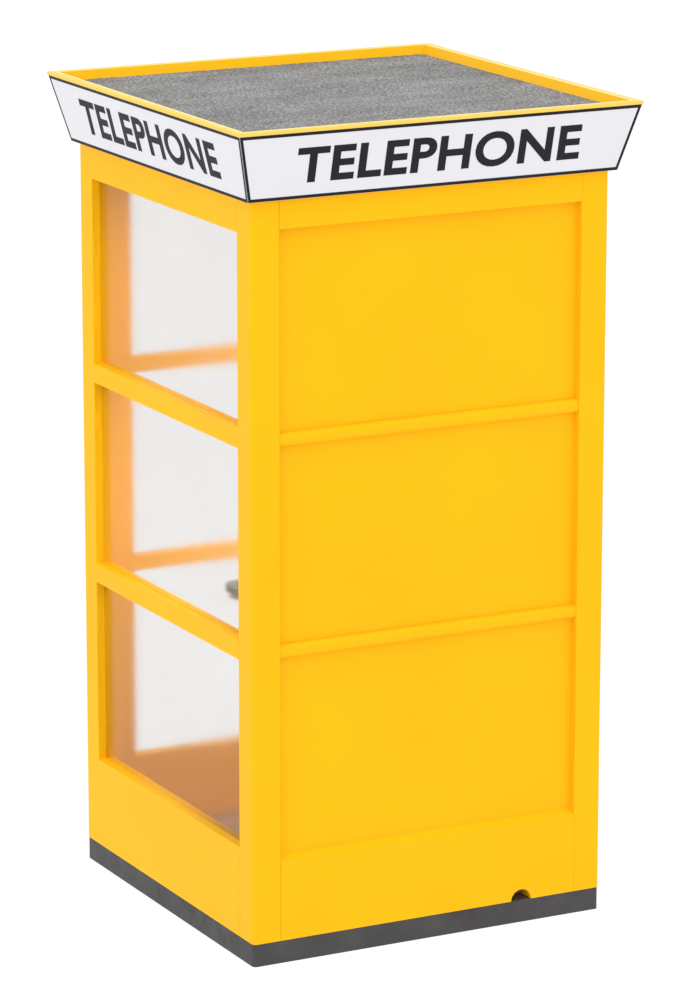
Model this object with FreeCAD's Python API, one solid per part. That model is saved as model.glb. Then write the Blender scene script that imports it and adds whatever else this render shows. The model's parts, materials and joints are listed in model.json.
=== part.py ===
"""Telephone booth: a square timber-framed street booth with glazed sides and door, a closed back wall,
a flared sign box under a flat felted roof, and a coin telephone on the inside of the back wall.

Millimetres, +Z up. The origin is the middle of the plinth's underside. The door faces -Y and the closed
back wall +Y; left and right are as seen by a person who walks in, so left is -X.
"""
import FreeCAD
import Part
import math
import os

from FreeCAD import Vector

# ---------------------------------------------------------------- driving sizes
# Body
BODY = 1100.0            # outer width and depth of the body
PLINTH_H = 65.0          # height of the cast plinth
PLINTH_INSET = 1.0       # plinth face behind the body's face
PLINTH_CORNER_R = 12.0
POST = 85.0              # corner posts are square
POST_CORNER_R = 12.0
WALL = 50.0              # thickness of sills, rails and heads in the walls
EASE = 1.5               # eased long edges of the joinery
# Side walls
SILL_TOP = 324.0
PANE_H = 535.0           # visible height of each side pane
SIDE_RAIL_H = 56.0
GLASS_INSET = 22.0       # glass behind the outer face of a side wall
GLASS_T = 6.0
REBATE = 10.0            # how far panes and panels reach into their rebates
SEAT_GAP = 1.0           # clearance round a pane or panel in its rebate
# Back wall
BACK_RAIL_H = 38.0
BACK_DROP = 18.0         # recess bottom below the side sill's top
BACK_RISE = 14.0         # recess top above the side windows' top
PANEL_INSET = 25.0       # sheet panels behind the outer face
PANEL_T = 3.0
BACK_RAIL_INSET = 5.0    # moulded rails stand a little behind the frame
SLOPE_DROP = 14.0        # weathered slope under the lowest panel
# Cable notch in the back sill
NOTCH_OFFSET = 255.0     # notch's middle from the left back corner
NOTCH_R = 32.0
# Floor
FLOOR_PLATE_T = 4.0
FLOOR_MAT_T = 6.0
FLOOR_GAP = 1.0
MAT_MARGIN = 3.0
ANCHOR_EDGE = 110.0      # anchor holes from the body's faces
ANCHOR_R = 9.0
ANCHOR_CLEAR_R = 22.0
# Door
DOOR_T = 40.0
DOOR_GAP = 3.0           # gap round the door leaf
DOOR_STILE_W = 55.0
DOOR_RAIL_H = 44.0
DOOR_DROP = 20.0         # door's glass starts this far below the side sill's top
DOOR_GLASS_INSET = 16.0
THRESHOLD_H = 12.0
STOP_W = 12.0            # how far the stops cover the leaf's edge
STOP_D = 18.0
STOP_CLEAR = 2.0
# Hinges
HINGE_H = 100.0
HINGE_LEAF_W = 36.0
HINGE_LEAF_T = 3.0
KNUCKLE_R = 7.0
PIN_R = 4.0
RUNNING = 0.06           # radial running clearance
KNUCKLE_GAP = 0.4
HINGE_COUNT = 3
HINGE_END = 170.0        # first and last hinge from the leaf's ends
# Door handles
HANDLE_LEN = 280.0
HANDLE_R = 9.0
HANDLE_REACH = 48.0
HANDLE_Z = 1060.0
ROSETTE_R = 15.0
ROSETTE_T = 4.0
# Door closer, a parallelogram linkage
CLOSER_ALONG = 240.0     # spindle from the door's hinge line, along the leaf
CLOSER_DEPTH = 60.0
CLOSER_LEN = 210.0
CLOSER_H = 34.0
ARM_DX, ARM_DY = -60.0, 150.0    # from the spindle to the elbow
ARM_W = 22.0
ARM_T = 6.0
ARM_GAP = 2.0
SPINDLE_R = 6.0
# Sign box and roof
HEAD_SHOW = 96.0         # side head that shows between window and sign
SIGN_H = 195.0
SIGN_OUT_LOW = 16.0      # sign face outside the body at its foot
SIGN_OUT_TOP = 66.0      # and at its top
SIGN_PANEL_T = 3.0
SIGN_SHEET_T = 2.5
FLANGE_T = 9.0             # yellow edge above the sign panels
RIM_OUTER_W = 10.0       # outer band of the yellow rim
RIM_INNER_W = 14.0       # inner band
RIM_LEAN = 12.0          # the rim's inner face leans in this far on its way down
RIM_GROOVE = 2.0
RIM_H = 32.0
DECK_T = 22.0
FELT_T = 8.0
CEILING_T = 10.0
CEILING_DROP = 8.0       # ceiling above the sign's foot
# Lamp
LAMP_R = 95.0
LAMP_BASE_H = 14.0
DOME_R = 88.0
DOME_H = 68.0
DOME_WALL = 3.0
# Backboard and shelf
BOARD_SIDE_GAP = 25.0    # backboard and shelf to the posts' inner faces
BOARD_T = 12.0
SHELF_Z = 988.0          # top of the shelf
SHELF_T = 20.0
SHELF_DEPTH = 353.0
SHELF_CORNER_R = 40.0
BRACKET_T = 6.0
BRACKET_END = 48.0       # outer brackets from the shelf's ends
ROD_R = 6.0
ROD_AHEAD = 22.0         # rod in front of the shelf's edge
ROD_BELOW = 27.0         # rod under the shelf
# Directories that hang from the rod
BOOK_W = 215.0
BOOK_H = 290.0
BOOK_T = 40.0
SPINE_R = 11.0
# Telephone
PHONE_W = 250.0
PHONE_H = 370.0
PHONE_D = 110.0
PHONE_ABOVE_SHELF = 90.0
PHONE_WALL = 4.0
PHONE_EDGE_R = 16.0
DIAL_ABOVE_FOOT = 250.0
DIAL_R = 46.0
DIAL_PLATE_T = 4.0
WHEEL_R = 40.0
WHEEL_T = 2.5
WHEEL_GAP = 0.8
FINGER_R = 6.5
FINGER_CIRCLE_R = 31.0
FINGER_STEP = 27.5       # degrees from hole to hole
FINGER_FIRST = 52.0
CUP_W = 56.0
CUP_H = 46.0
CUP_DEPTH = 54.0
CUP_X = -68.0
CUP_ABOVE_FOOT = 18.0
FLAP_T = 2.5
CASH_W = 90.0
CASH_H = 80.0
CASH_X = 50.0
CASH_PIN_R = 1.2
CASH_BARREL_R = 2.4
CASH_ABOVE_FOOT = 16.0
BUTTON_R = 8.0
BUTTON_X = 92.0
BUTTON_STROKE = 8.0
COIN_X = 62.0
# Handset and its hook
HANDSET_X = -166.0
EAR_ABOVE_FOOT = 316.0
CAP_SPAN = 186.0         # from ear cap to mouth cap
CAP_R = 27.0
CAP_L = 28.0
GRIP_R = 11.0
GRIP_OUT = 24.0
PRONG_GAP = 30.0
PRONG_T = 6.0
HOOK_CLEAR = 0.4
HOOK_PIN_R = 4.0
# Conduit
CONDUIT_R = 10.0
CONDUIT_BEND_R = 40.0
CONDUIT_PHONE_X = 60.0
CLIP_T = 2.5

# ---------------------------------------------------------------- derived places
HALF = BODY / 2
INNER = HALF - POST                       # posts' inner faces
RAIL_LOW_Z = SILL_TOP + PANE_H + SIDE_RAIL_H / 2
RAIL_HIGH_Z = RAIL_LOW_Z + PANE_H + SIDE_RAIL_H
WINDOW_TOP = RAIL_HIGH_Z + SIDE_RAIL_H / 2 + PANE_H
RAIL_ZS = (RAIL_LOW_Z, RAIL_HIGH_Z)
SIGN_Z0 = WINDOW_TOP + HEAD_SHOW
SIGN_Z1 = SIGN_Z0 + SIGN_H
DECK_Z = SIGN_Z1 - RIM_H - DECK_T         # frame's top and deck's underside
ROOF_HALF = HALF + SIGN_OUT_TOP           # outermost edge of the roof
RIM_SPLIT = ROOF_HALF - RIM_OUTER_W       # inner edge of the rim's outer band
RIM_OUTER = RIM_SPLIT - RIM_GROOVE        # outer edge of its inner band
RIM_INNER = RIM_OUTER - RIM_INNER_W
RIM_FOOT = RIM_INNER - RIM_LEAN
SIGN_SLOPE = (SIGN_OUT_TOP - SIGN_OUT_LOW) / SIGN_H
DECK_HALF = RIM_OUTER - SIGN_SLOPE * (RIM_H + DECK_T)
CEILING_Z = SIGN_Z0 + CEILING_DROP
WALL_IN = HALF - WALL                     # inner face of side and back walls

BACK_Z0 = SILL_TOP - BACK_DROP
BACK_Z1 = WINDOW_TOP + BACK_RISE
FLOOR_Z = PLINTH_H + FLOOR_PLATE_T + FLOOR_MAT_T

LEAF_HALF = INNER - DOOR_GAP
LEAF_Z0 = PLINTH_H + THRESHOLD_H + DOOR_GAP
DOOR_GLASS_Z0 = SILL_TOP - DOOR_DROP
DOOR_GLASS_Z1 = BACK_Z1
LEAF_Z1 = DOOR_GLASS_Z1 + DOOR_RAIL_H
HEAD_FRONT_Z = LEAF_Z1 + DOOR_GAP
LEAF_Y0 = -HALF                           # outer face of the leaf
LEAF_Y1 = LEAF_Y0 + DOOR_T
STOP_Y0 = LEAF_Y1 + STOP_CLEAR

HINGE_X = INNER - DOOR_GAP / 2
HINGE_Y = -HALF - KNUCKLE_R - 0.5
HINGE_ZS = [LEAF_Z0 + HINGE_END + i * (LEAF_Z1 - LEAF_Z0 - 2 * HINGE_END) / (HINGE_COUNT - 1)
            for i in range(HINGE_COUNT)]

SPINDLE_X = HINGE_X - CLOSER_ALONG
SPINDLE_Y = LEAF_Y1 + CLOSER_DEPTH * 2 / 3
LINK_Z1 = HEAD_FRONT_Z - STOP_W - ARM_GAP - 1.5
LINK_Z0 = LINK_Z1 - ARM_T
ARM_Z1 = LINK_Z0 - ARM_GAP
ARM_Z0 = ARM_Z1 - ARM_T
CLOSER_Z1 = ARM_Z0 - ARM_GAP
CLOSER_Z0 = CLOSER_Z1 - CLOSER_H
ELBOW = Vector(SPINDLE_X + ARM_DX, SPINDLE_Y + ARM_DY, 0)
FRAME_PIVOT = Vector(HINGE_X + ARM_DX, HINGE_Y + ARM_DY, 0)

BOARD_HALF_W = INNER - BOARD_SIDE_GAP
BOARD_Y = WALL_IN - BOARD_T               # front face of the backboard
BOARD_Z0 = RAIL_LOW_Z - BACK_RAIL_H / 2
BOARD_Z1 = RAIL_HIGH_Z + BACK_RAIL_H / 2
SHELF_FRONT_Y = BOARD_Y - SHELF_DEPTH
BRACKET_REACH = BOARD_HALF_W - BRACKET_END
BRACKET_XS = (-BRACKET_REACH, 0.0, BRACKET_REACH)
ROD_Y = SHELF_FRONT_Y - ROD_AHEAD
ROD_Z = SHELF_Z - SHELF_T - ROD_BELOW
BOOK_X = BRACKET_REACH / 2                # middle of each book

PHONE_Z0 = SHELF_Z + PHONE_ABOVE_SHELF
PHONE_Z1 = PHONE_Z0 + PHONE_H
PHONE_Y = BOARD_Y - PHONE_D               # front face of the telephone
DIAL_Z = PHONE_Z0 + DIAL_ABOVE_FOOT
CUP_Z0 = PHONE_Z0 + CUP_ABOVE_FOOT
CASH_Z0 = PHONE_Z0 + CASH_ABOVE_FOOT
BUTTON_Z = DIAL_Z - DIAL_R - 26.0
FLAP_AXIS_Y = PHONE_Y + 0.8 + FLAP_T / 2
FLAP_AXIS_Z = CUP_Z0 + CUP_H - 3
CASH_HINGE_X = CASH_X + CASH_W / 2 + 2.2
CASH_HINGE_Y = PHONE_Y - 2.9
EAR_Z = PHONE_Z0 + EAR_ABOVE_FOOT
MOUTH_Z = EAR_Z - CAP_SPAN
CAP_Y1 = BOARD_Y - 18.0
CAP_Y0 = CAP_Y1 - CAP_L
GRIP_Y = CAP_Y0 - GRIP_OUT + 4.0
PRONG_DROP = math.sqrt(CAP_R ** 2 - (PRONG_GAP / 2) ** 2)
PRONG_TOP = EAR_Z - PRONG_DROP - HOOK_CLEAR
HOOK_PIVOT_X = -PHONE_W / 2 + 26.0
HOOK_PIVOT_Z = PRONG_TOP - PRONG_T / 2
NOTCH_X = -HALF + NOTCH_OFFSET
CONDUIT_Y = BOARD_Y - CONDUIT_R - 1.0
CONDUIT_RUN_Z = SHELF_Z - SHELF_T - 40.0


# ---------------------------------------------------------------- helpers
def box(x0, x1, y0, y1, z0, z1):
    """A block between two corners, given in any order."""
    lo = Vector(min(x0, x1), min(y0, y1), min(z0, z1))
    return Part.makeBox(abs(x1 - x0), abs(y1 - y0), abs(z1 - z0), lo)


def rod(radius, start, end):
    """A round bar from one point to another."""
    start, end = Vector(*start), Vector(*end)
    along = end - start
    return Part.makeCylinder(radius, along.Length, start, along)


def mirror_x(shape):
    return shape.mirror(Vector(0, 0, 0), Vector(1, 0, 0))


def group(shapes):
    """Several separate solids as one node."""
    return Part.makeCompound([s for shape in shapes for s in shape.Solids])


def prism(points, radii, depth):
    """A polygon with rounded corners, pushed along the vector depth. radii has one radius per point."""
    edges, starts, ends = [], [], []
    count = len(points)
    for i, (point, radius) in enumerate(zip(points, radii)):
        corner = Vector(*point)
        back = (Vector(*points[i - 1]) - corner).normalize()
        ahead = (Vector(*points[(i + 1) % count]) - corner).normalize()
        if radius <= 0:
            starts.append(corner)
            ends.append(corner)
            continue
        half = back.getAngle(ahead) / 2
        reach = radius / math.tan(half)
        middle = (back + ahead).normalize() * (radius / math.sin(half) - radius)
        first, last = corner + back * reach, corner + ahead * reach
        edges.append(Part.Arc(first, corner + middle, last).toShape())
        starts.append(first)
        ends.append(last)
    for i in range(count):
        a, b = ends[i], starts[(i + 1) % count]
        if (a - b).Length > 1e-6:
            edges.append(Part.makeLine(a, b))
    wire = Part.Wire(Part.__sortEdges__(edges))
    return Part.Face(wire).extrude(Vector(*depth))


def rounded_plate(x0, x1, y0, y1, z0, z1, radius):
    """A flat plate whose four upright corners are rounded."""
    points = [(x0, y0, z0), (x1, y0, z0), (x1, y1, z0), (x0, y1, z0)]
    return prism(points, [radius] * 4, (0, 0, z1 - z0))


def front_plate(x0, x1, z0, z1, y0, y1, radius):
    """A plate that faces -Y, with rounded corners."""
    points = [(x0, y0, z0), (x1, y0, z0), (x1, y0, z1), (x0, y0, z1)]
    return prism(points, [radius] * 4, (0, y1 - y0, 0))


def soften(shape, radius, picks):
    """Rounds the edges for which picks(edge) is true."""
    edges = [e for e in shape.Edges if picks(e)]
    return shape.makeFillet(radius, edges) if edges else shape


def runs_along(edge, axis):
    """True for a straight edge parallel to the named axis."""
    if edge.Curve.TypeId != "Part::GeomLine":
        return False
    way = edge.Vertexes[-1].Point - edge.Vertexes[0].Point
    others = [abs(getattr(way, a)) for a in "xyz" if a != axis]
    return max(others) < 1e-6


def at(edge, **places):
    """True if the edge's middle has the given coordinates."""
    middle = edge.CenterOfMass
    return all(abs(getattr(middle, a) - value) < 1e-3 for a, value in places.items())


# ---------------------------------------------------------------- plinth and floor
def anchor_holes(radius, z0, z1):
    reach = HALF - ANCHOR_EDGE
    return [rod(radius, (x, y, z0), (x, y, z1)) for x in (-reach, reach) for y in (-reach, reach)]


def plinth():
    side = HALF - PLINTH_INSET
    slab = rounded_plate(-side, side, -side, side, 0, PLINTH_H, PLINTH_CORNER_R)
    return slab.cut(anchor_holes(ANCHOR_R, -1, PLINTH_H + 1))


def floor_outline(margin, front_y, z0, z1):
    """The cabin's floor: it fills the space between the walls and leaves the posts out."""
    long_half, short_half = WALL_IN - margin, INNER - margin
    across = box(-long_half, long_half, -short_half, short_half, z0, z1)
    along = box(-short_half, short_half, front_y, long_half, z0, z1)
    return across.fuse(along).removeSplitter()


def floor_plate():
    z0, z1 = PLINTH_H, PLINTH_H + FLOOR_PLATE_T
    plate = floor_outline(FLOOR_GAP, STOP_Y0 + STOP_CLEAR, z0, z1)
    return plate.cut(anchor_holes(ANCHOR_CLEAR_R, z0 - 1, z1 + 1))


def floor_mat():
    z0 = PLINTH_H + FLOOR_PLATE_T
    mat = floor_outline(FLOOR_GAP + MAT_MARGIN, STOP_Y0 + STOP_CLEAR + FLOOR_GAP, z0, FLOOR_Z)
    return mat.cut(anchor_holes(ANCHOR_CLEAR_R, z0 - 1, FLOOR_Z + 1))


def threshold():
    strip = box(-INNER, INNER, -HALF + PLINTH_INSET, STOP_Y0 + STOP_CLEAR - FLOOR_GAP,
                PLINTH_H, PLINTH_H + THRESHOLD_H)
    return soften(strip, 3.0, lambda e: runs_along(e, "x") and at(e, z=PLINTH_H + THRESHOLD_H))


# ---------------------------------------------------------------- corner posts
def back_post():
    """Right back post, rebated for the side panes and for the back panels."""
    glass_x, panel_y = HALF - GLASS_INSET, HALF - PANEL_INSET
    seat = INNER + REBATE
    points = [(glass_x, INNER), (HALF, INNER), (HALF, HALF), (INNER, HALF), (INNER, panel_y),
              (seat, panel_y), (seat, seat), (glass_x, seat)]
    radii = [0, EASE, POST_CORNER_R, 2 * EASE, 0, 0, 0, 0]
    return prism([(x, y, PLINTH_H) for x, y in points], radii, (0, 0, DECK_Z - PLINTH_H))


def front_post():
    """Right front post, rebated for the side panes; the door closes beside it."""
    glass_x, seat = HALF - GLASS_INSET, INNER + REBATE
    points = [(glass_x, -INNER), (glass_x, -seat), (INNER, -seat), (INNER, -HALF), (HALF, -HALF),
              (HALF, -INNER)]
    radii = [0, 0, 0, EASE, POST_CORNER_R, EASE]
    return prism([(x, y, PLINTH_H) for x, y in points], radii, (0, 0, DECK_Z - PLINTH_H))


# ---------------------------------------------------------------- side walls
def side_member(z0, z1, rebate_low, rebate_high):
    """A rail of the right wall. Its inner part steps back for the panes and reaches the posts' rebates."""
    glass_x = HALF - GLASS_INSET
    outer = box(glass_x, HALF, -INNER, INNER, z0, z1)
    outer = soften(outer, EASE, lambda e: runs_along(e, "y") and at(e, x=HALF)
                   and ((rebate_low and at(e, z=z0)) or (rebate_high and at(e, z=z1))))
    inner = box(WALL_IN, glass_x, -INNER - REBATE, INNER + REBATE,
                z0 + REBATE * rebate_low, z1 - REBATE * rebate_high)
    return outer.fuse(inner).removeSplitter()


def side_sill():
    return side_member(PLINTH_H, SILL_TOP, 0, 1)


def side_head():
    return side_member(WINDOW_TOP, DECK_Z, 1, 0)


def side_rails():
    return [side_member(z - SIDE_RAIL_H / 2, z + SIDE_RAIL_H / 2, 1, 1) for z in RAIL_ZS]


def side_bays():
    """Lower and upper edge of each visible side pane."""
    half = SIDE_RAIL_H / 2
    return [(SILL_TOP, RAIL_LOW_Z - half), (RAIL_LOW_Z + half, RAIL_HIGH_Z - half),
            (RAIL_HIGH_Z + half, WINDOW_TOP)]


def side_panes():
    reach = REBATE - SEAT_GAP
    x1 = HALF - GLASS_INSET
    return [box(x1 - GLASS_T, x1, -INNER - reach, INNER + reach, z0 - reach, z1 + reach)
            for z0, z1 in side_bays()]


def bead_frame(plane, across, z0, z1, depth, width):
    """Four glazing beads round an opening, as strips (u0, u1, z0, z1) with u the horizontal, followed by the
    two depths that they lie between."""
    u0, u1 = -across, across
    return [(u0 - width, u1 + width, z0 - width, z0), (u0 - width, u1 + width, z1, z1 + width),
            (u0 - width, u0, z0, z1), (u1, u1 + width, z0, z1)], plane, plane + depth


def side_beads():
    width = REBATE - SEAT_GAP
    beads = []
    for z0, z1 in side_bays():
        strips, a, b = bead_frame(HALF - GLASS_INSET - GLASS_T, INNER, z0, z1,
                                  GLASS_INSET + GLASS_T - WALL, width)
        beads += [box(a, b, u0, u1, w0, w1) for u0, u1, w0, w1 in strips]
    return beads


# ---------------------------------------------------------------- back wall
def back_member(z0, z1, rebate_low, rebate_high):
    """A member of the back wall, stepped for the sheet panels."""
    panel_y = HALF - PANEL_INSET
    outer = box(-INNER, INNER, panel_y, HALF, z0, z1)
    inner = box(-INNER - REBATE, INNER + REBATE, WALL_IN, panel_y,
                z0 + REBATE * rebate_low, z1 - REBATE * rebate_high)
    return outer, inner


def back_sill():
    """The weathered bottom rail, with the half-round cable notch at its foot."""
    panel_y = HALF - PANEL_INSET
    outer, inner = back_member(PLINTH_H, BACK_Z0, 0, 1)
    low = BACK_Z0 - SLOPE_DROP
    wedge = prism([(-INNER, HALF + 1, low - 0.6), (-INNER, HALF + 1, BACK_Z0 + 1),
                   (-INNER, panel_y, BACK_Z0 + 1), (-INNER, panel_y, BACK_Z0)], [0] * 4,
                  (2 * INNER, 0, 0))
    sill = outer.cut(wedge).fuse(inner).removeSplitter()
    return sill.cut(rod(NOTCH_R, (NOTCH_X, WALL_IN - 1, PLINTH_H), (NOTCH_X, HALF + 1, PLINTH_H)))


def back_head():
    outer, inner = back_member(BACK_Z1, DECK_Z, 1, 0)
    outer = soften(outer, 2 * EASE, lambda e: runs_along(e, "x") and at(e, y=HALF, z=BACK_Z1))
    return outer.fuse(inner).removeSplitter()


def back_rails():
    """Two moulded rails, rounded along both outer edges."""
    panel_y, face_y = HALF - PANEL_INSET, HALF - BACK_RAIL_INSET
    rails = []
    for z in RAIL_ZS:
        z0, z1 = z - BACK_RAIL_H / 2, z + BACK_RAIL_H / 2
        round_r = min((face_y - panel_y) * 0.7, BACK_RAIL_H * 0.4)
        outer = prism([(-INNER, panel_y, z0), (-INNER, face_y, z0), (-INNER, face_y, z1),
                       (-INNER, panel_y, z1)], [0, round_r, round_r, 0], (2 * INNER, 0, 0))
        inner = box(-INNER - REBATE, INNER + REBATE, WALL_IN, panel_y, z0 + REBATE, z1 - REBATE)
        rails.append(outer.fuse(inner).removeSplitter())
    return rails


def back_bays():
    half = BACK_RAIL_H / 2
    return [(BACK_Z0, RAIL_LOW_Z - half), (RAIL_LOW_Z + half, RAIL_HIGH_Z - half),
            (RAIL_HIGH_Z + half, BACK_Z1)]


def back_panels():
    reach = REBATE - SEAT_GAP
    y1 = HALF - PANEL_INSET
    return [box(-INNER - reach, INNER + reach, y1 - PANEL_T, y1, z0 - reach, z1 + reach)
            for z0, z1 in back_bays()]


# ---------------------------------------------------------------- front wall
def front_head():
    return box(-INNER, INNER, -HALF, -INNER, HEAD_FRONT_Z, DECK_Z)


def door_stops():
    y0, y1 = STOP_Y0, STOP_Y0 + STOP_D
    foot = max(FLOOR_Z, PLINTH_H + THRESHOLD_H) + FLOOR_GAP
    side = box(INNER - STOP_W, INNER, y0, y1, foot, HEAD_FRONT_Z - STOP_W)
    top = box(-INNER, INNER, y0, y1, HEAD_FRONT_Z - STOP_W, HEAD_FRONT_Z)
    return [side, mirror_x(side), top]


# ---------------------------------------------------------------- sign box and roof
def sign_offset(z):
    """How far the sign's outer face stands outside the body at height z."""
    return SIGN_OUT_LOW + SIGN_SLOPE * (z - SIGN_Z0)


def mitred(profile, gap=0.0):
    """A profile in the (Y, Z) plane of the +Y side, run along X and mitred where it meets its neighbours."""
    length = 2 * ROOF_HALF + 40
    start = -length / 2
    bar = prism([(start, y, z) for y, z in profile], [0] * len(profile), (length, 0, 0))
    reach = ROOF_HALF + 20
    zs = [z for _, z in profile]
    wedge = prism([(0, gap, min(zs) - 1), (reach, reach + gap, min(zs) - 1),
                   (-reach, reach + gap, min(zs) - 1)], [0] * 3, (0, 0, max(zs) - min(zs) + 2))
    return bar.common(wedge)


def quarter_turns(shape):
    """The shape on all four sides: back, left, front and right."""
    sides = []
    for turn in range(4):
        side = shape.copy()
        side.rotate(Vector(0, 0, 0), Vector(0, 0, 1), 90 * turn)
        sides.append(side)
    return sides


def sign_panels():
    """Four enamelled trapezoids that lean outwards."""
    low, high = SIGN_Z0, SIGN_Z1 - FLANGE_T
    outer_low, outer_high = HALF + sign_offset(low), HALF + sign_offset(high)
    profile = [(outer_low - SIGN_PANEL_T, low), (outer_low, low), (outer_high, high),
               (outer_high - SIGN_PANEL_T, high)]
    return quarter_turns(mitred(profile, gap=0.7))


def sign_frame():
    """Four folded sheet members behind the panels, with a foot flange and a top flange."""
    low, high = SIGN_Z0, SIGN_Z1 - FLANGE_T
    back_low = HALF + sign_offset(low) - SIGN_PANEL_T
    back_high = HALF + sign_offset(high) - SIGN_PANEL_T
    sheet = SIGN_SHEET_T
    profile = [(HALF, low), (back_low, low), (back_high, high), (ROOF_HALF, high),
               (ROOF_HALF, SIGN_Z1), (RIM_SPLIT, SIGN_Z1), (RIM_SPLIT, high),
               (back_high - sheet, high), (back_low - sheet, low + sheet), (HALF, low + sheet)]
    return quarter_turns(mitred(profile))


def roof_rim():
    """Four rim members on the deck, leaning with the sign outside and down to the felt inside."""
    z0, z1 = SIGN_Z1 - RIM_H, SIGN_Z1
    profile = [(RIM_FOOT, z0), (RIM_OUTER - SIGN_SLOPE * RIM_H, z0), (RIM_OUTER, z1), (RIM_INNER, z1)]
    return quarter_turns(mitred(profile))


def roof_deck():
    return box(-DECK_HALF, DECK_HALF, -DECK_HALF, DECK_HALF, DECK_Z, DECK_Z + DECK_T)


def roof_felt():
    z0 = DECK_Z + DECK_T
    half = RIM_FOOT - 0.5
    return box(-half, half, -half, half, z0, z0 + FELT_T)


def ceiling_panel():
    across = box(-WALL_IN, WALL_IN, -INNER, INNER, CEILING_Z, CEILING_Z + CEILING_T)
    along = box(-INNER, INNER, -INNER, WALL_IN, CEILING_Z, CEILING_Z + CEILING_T)
    return across.fuse(along).removeSplitter()


def lamp_base():
    disc = rod(LAMP_R, (0, 0, CEILING_Z - LAMP_BASE_H), (0, 0, CEILING_Z))
    return soften(disc, 4.0, lambda e: at(e, z=CEILING_Z - LAMP_BASE_H))


def cap_profile(radius, depth, z_top):
    """A shallow bowl's outline in the XZ plane: from its lowest point up an arc to its rim."""
    sphere_r = (radius ** 2 + depth ** 2) / (2 * depth)
    half_way = math.asin(radius / sphere_r) / 2
    centre_z = z_top - depth + sphere_r
    middle = Vector(sphere_r * math.sin(half_way), 0, centre_z - sphere_r * math.cos(half_way))
    return Vector(0, 0, z_top - depth), middle, Vector(radius, 0, z_top)


def bowl(radius, depth, z_top):
    low, middle, rim = cap_profile(radius, depth, z_top)
    edges = [Part.Arc(low, middle, rim).toShape(), Part.makeLine(rim, Vector(0, 0, z_top)),
             Part.makeLine(Vector(0, 0, z_top), low)]
    return Part.Face(Part.Wire(edges)).revolve(Vector(0, 0, 0), Vector(0, 0, 1), 360)


def lamp_dome():
    z_top = CEILING_Z - LAMP_BASE_H
    hollow = bowl(DOME_R - DOME_WALL, DOME_H - DOME_WALL, z_top)
    return bowl(DOME_R, DOME_H, z_top).cut(hollow)


# ---------------------------------------------------------------- door leaf
def door_stile():
    """Right stile, rebated for the panes over its whole height."""
    glass_y = LEAF_Y0 + DOOR_GLASS_INSET
    x0 = LEAF_HALF - DOOR_STILE_W
    points = [(x0, LEAF_Y0), (LEAF_HALF, LEAF_Y0), (LEAF_HALF, LEAF_Y1), (x0 + REBATE, LEAF_Y1),
              (x0 + REBATE, glass_y), (x0, glass_y)]
    radii = [EASE, EASE, EASE, 0, 0, 0]
    return prism([(x, y, LEAF_Z0) for x, y in points], radii, (0, 0, LEAF_Z1 - LEAF_Z0))


def door_member(z0, z1, rebate_low, rebate_high):
    glass_y = LEAF_Y0 + DOOR_GLASS_INSET
    x1 = LEAF_HALF - DOOR_STILE_W
    outer = box(-x1, x1, LEAF_Y0, glass_y, z0, z1)
    outer = soften(outer, EASE, lambda e: runs_along(e, "x") and at(e, y=LEAF_Y0)
                   and ((rebate_low and at(e, z=z0)) or (rebate_high and at(e, z=z1))))
    inner = box(-x1 - REBATE, x1 + REBATE, glass_y, LEAF_Y1,
                z0 + REBATE * rebate_low, z1 - REBATE * rebate_high)
    return outer.fuse(inner).removeSplitter()


def door_rails():
    half = DOOR_RAIL_H / 2
    rails = [door_member(z - half, z + half, 1, 1) for z in RAIL_ZS]
    return rails + [door_member(DOOR_GLASS_Z1, LEAF_Z1, 1, 0)]


def door_kick_panel():
    return door_member(LEAF_Z0, DOOR_GLASS_Z0, 0, 1)


def door_bays():
    half = DOOR_RAIL_H / 2
    return [(DOOR_GLASS_Z0, RAIL_LOW_Z - half), (RAIL_LOW_Z + half, RAIL_HIGH_Z - half),
            (RAIL_HIGH_Z + half, DOOR_GLASS_Z1)]


def door_panes():
    reach = REBATE - SEAT_GAP
    x1 = LEAF_HALF - DOOR_STILE_W + reach
    y0 = LEAF_Y0 + DOOR_GLASS_INSET
    return [box(-x1, x1, y0, y0 + GLASS_T, z0 - reach, z1 + reach) for z0, z1 in door_bays()]


def door_beads():
    width = REBATE - SEAT_GAP
    y0 = LEAF_Y0 + DOOR_GLASS_INSET + GLASS_T
    beads = []
    for z0, z1 in door_bays():
        strips, a, b = bead_frame(y0, LEAF_HALF - DOOR_STILE_W, z0, z1, LEAF_Y1 - y0, width)
        beads += [box(u0, u1, a, b, w0, w1) for u0, u1, w0, w1 in strips]
    return beads


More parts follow.
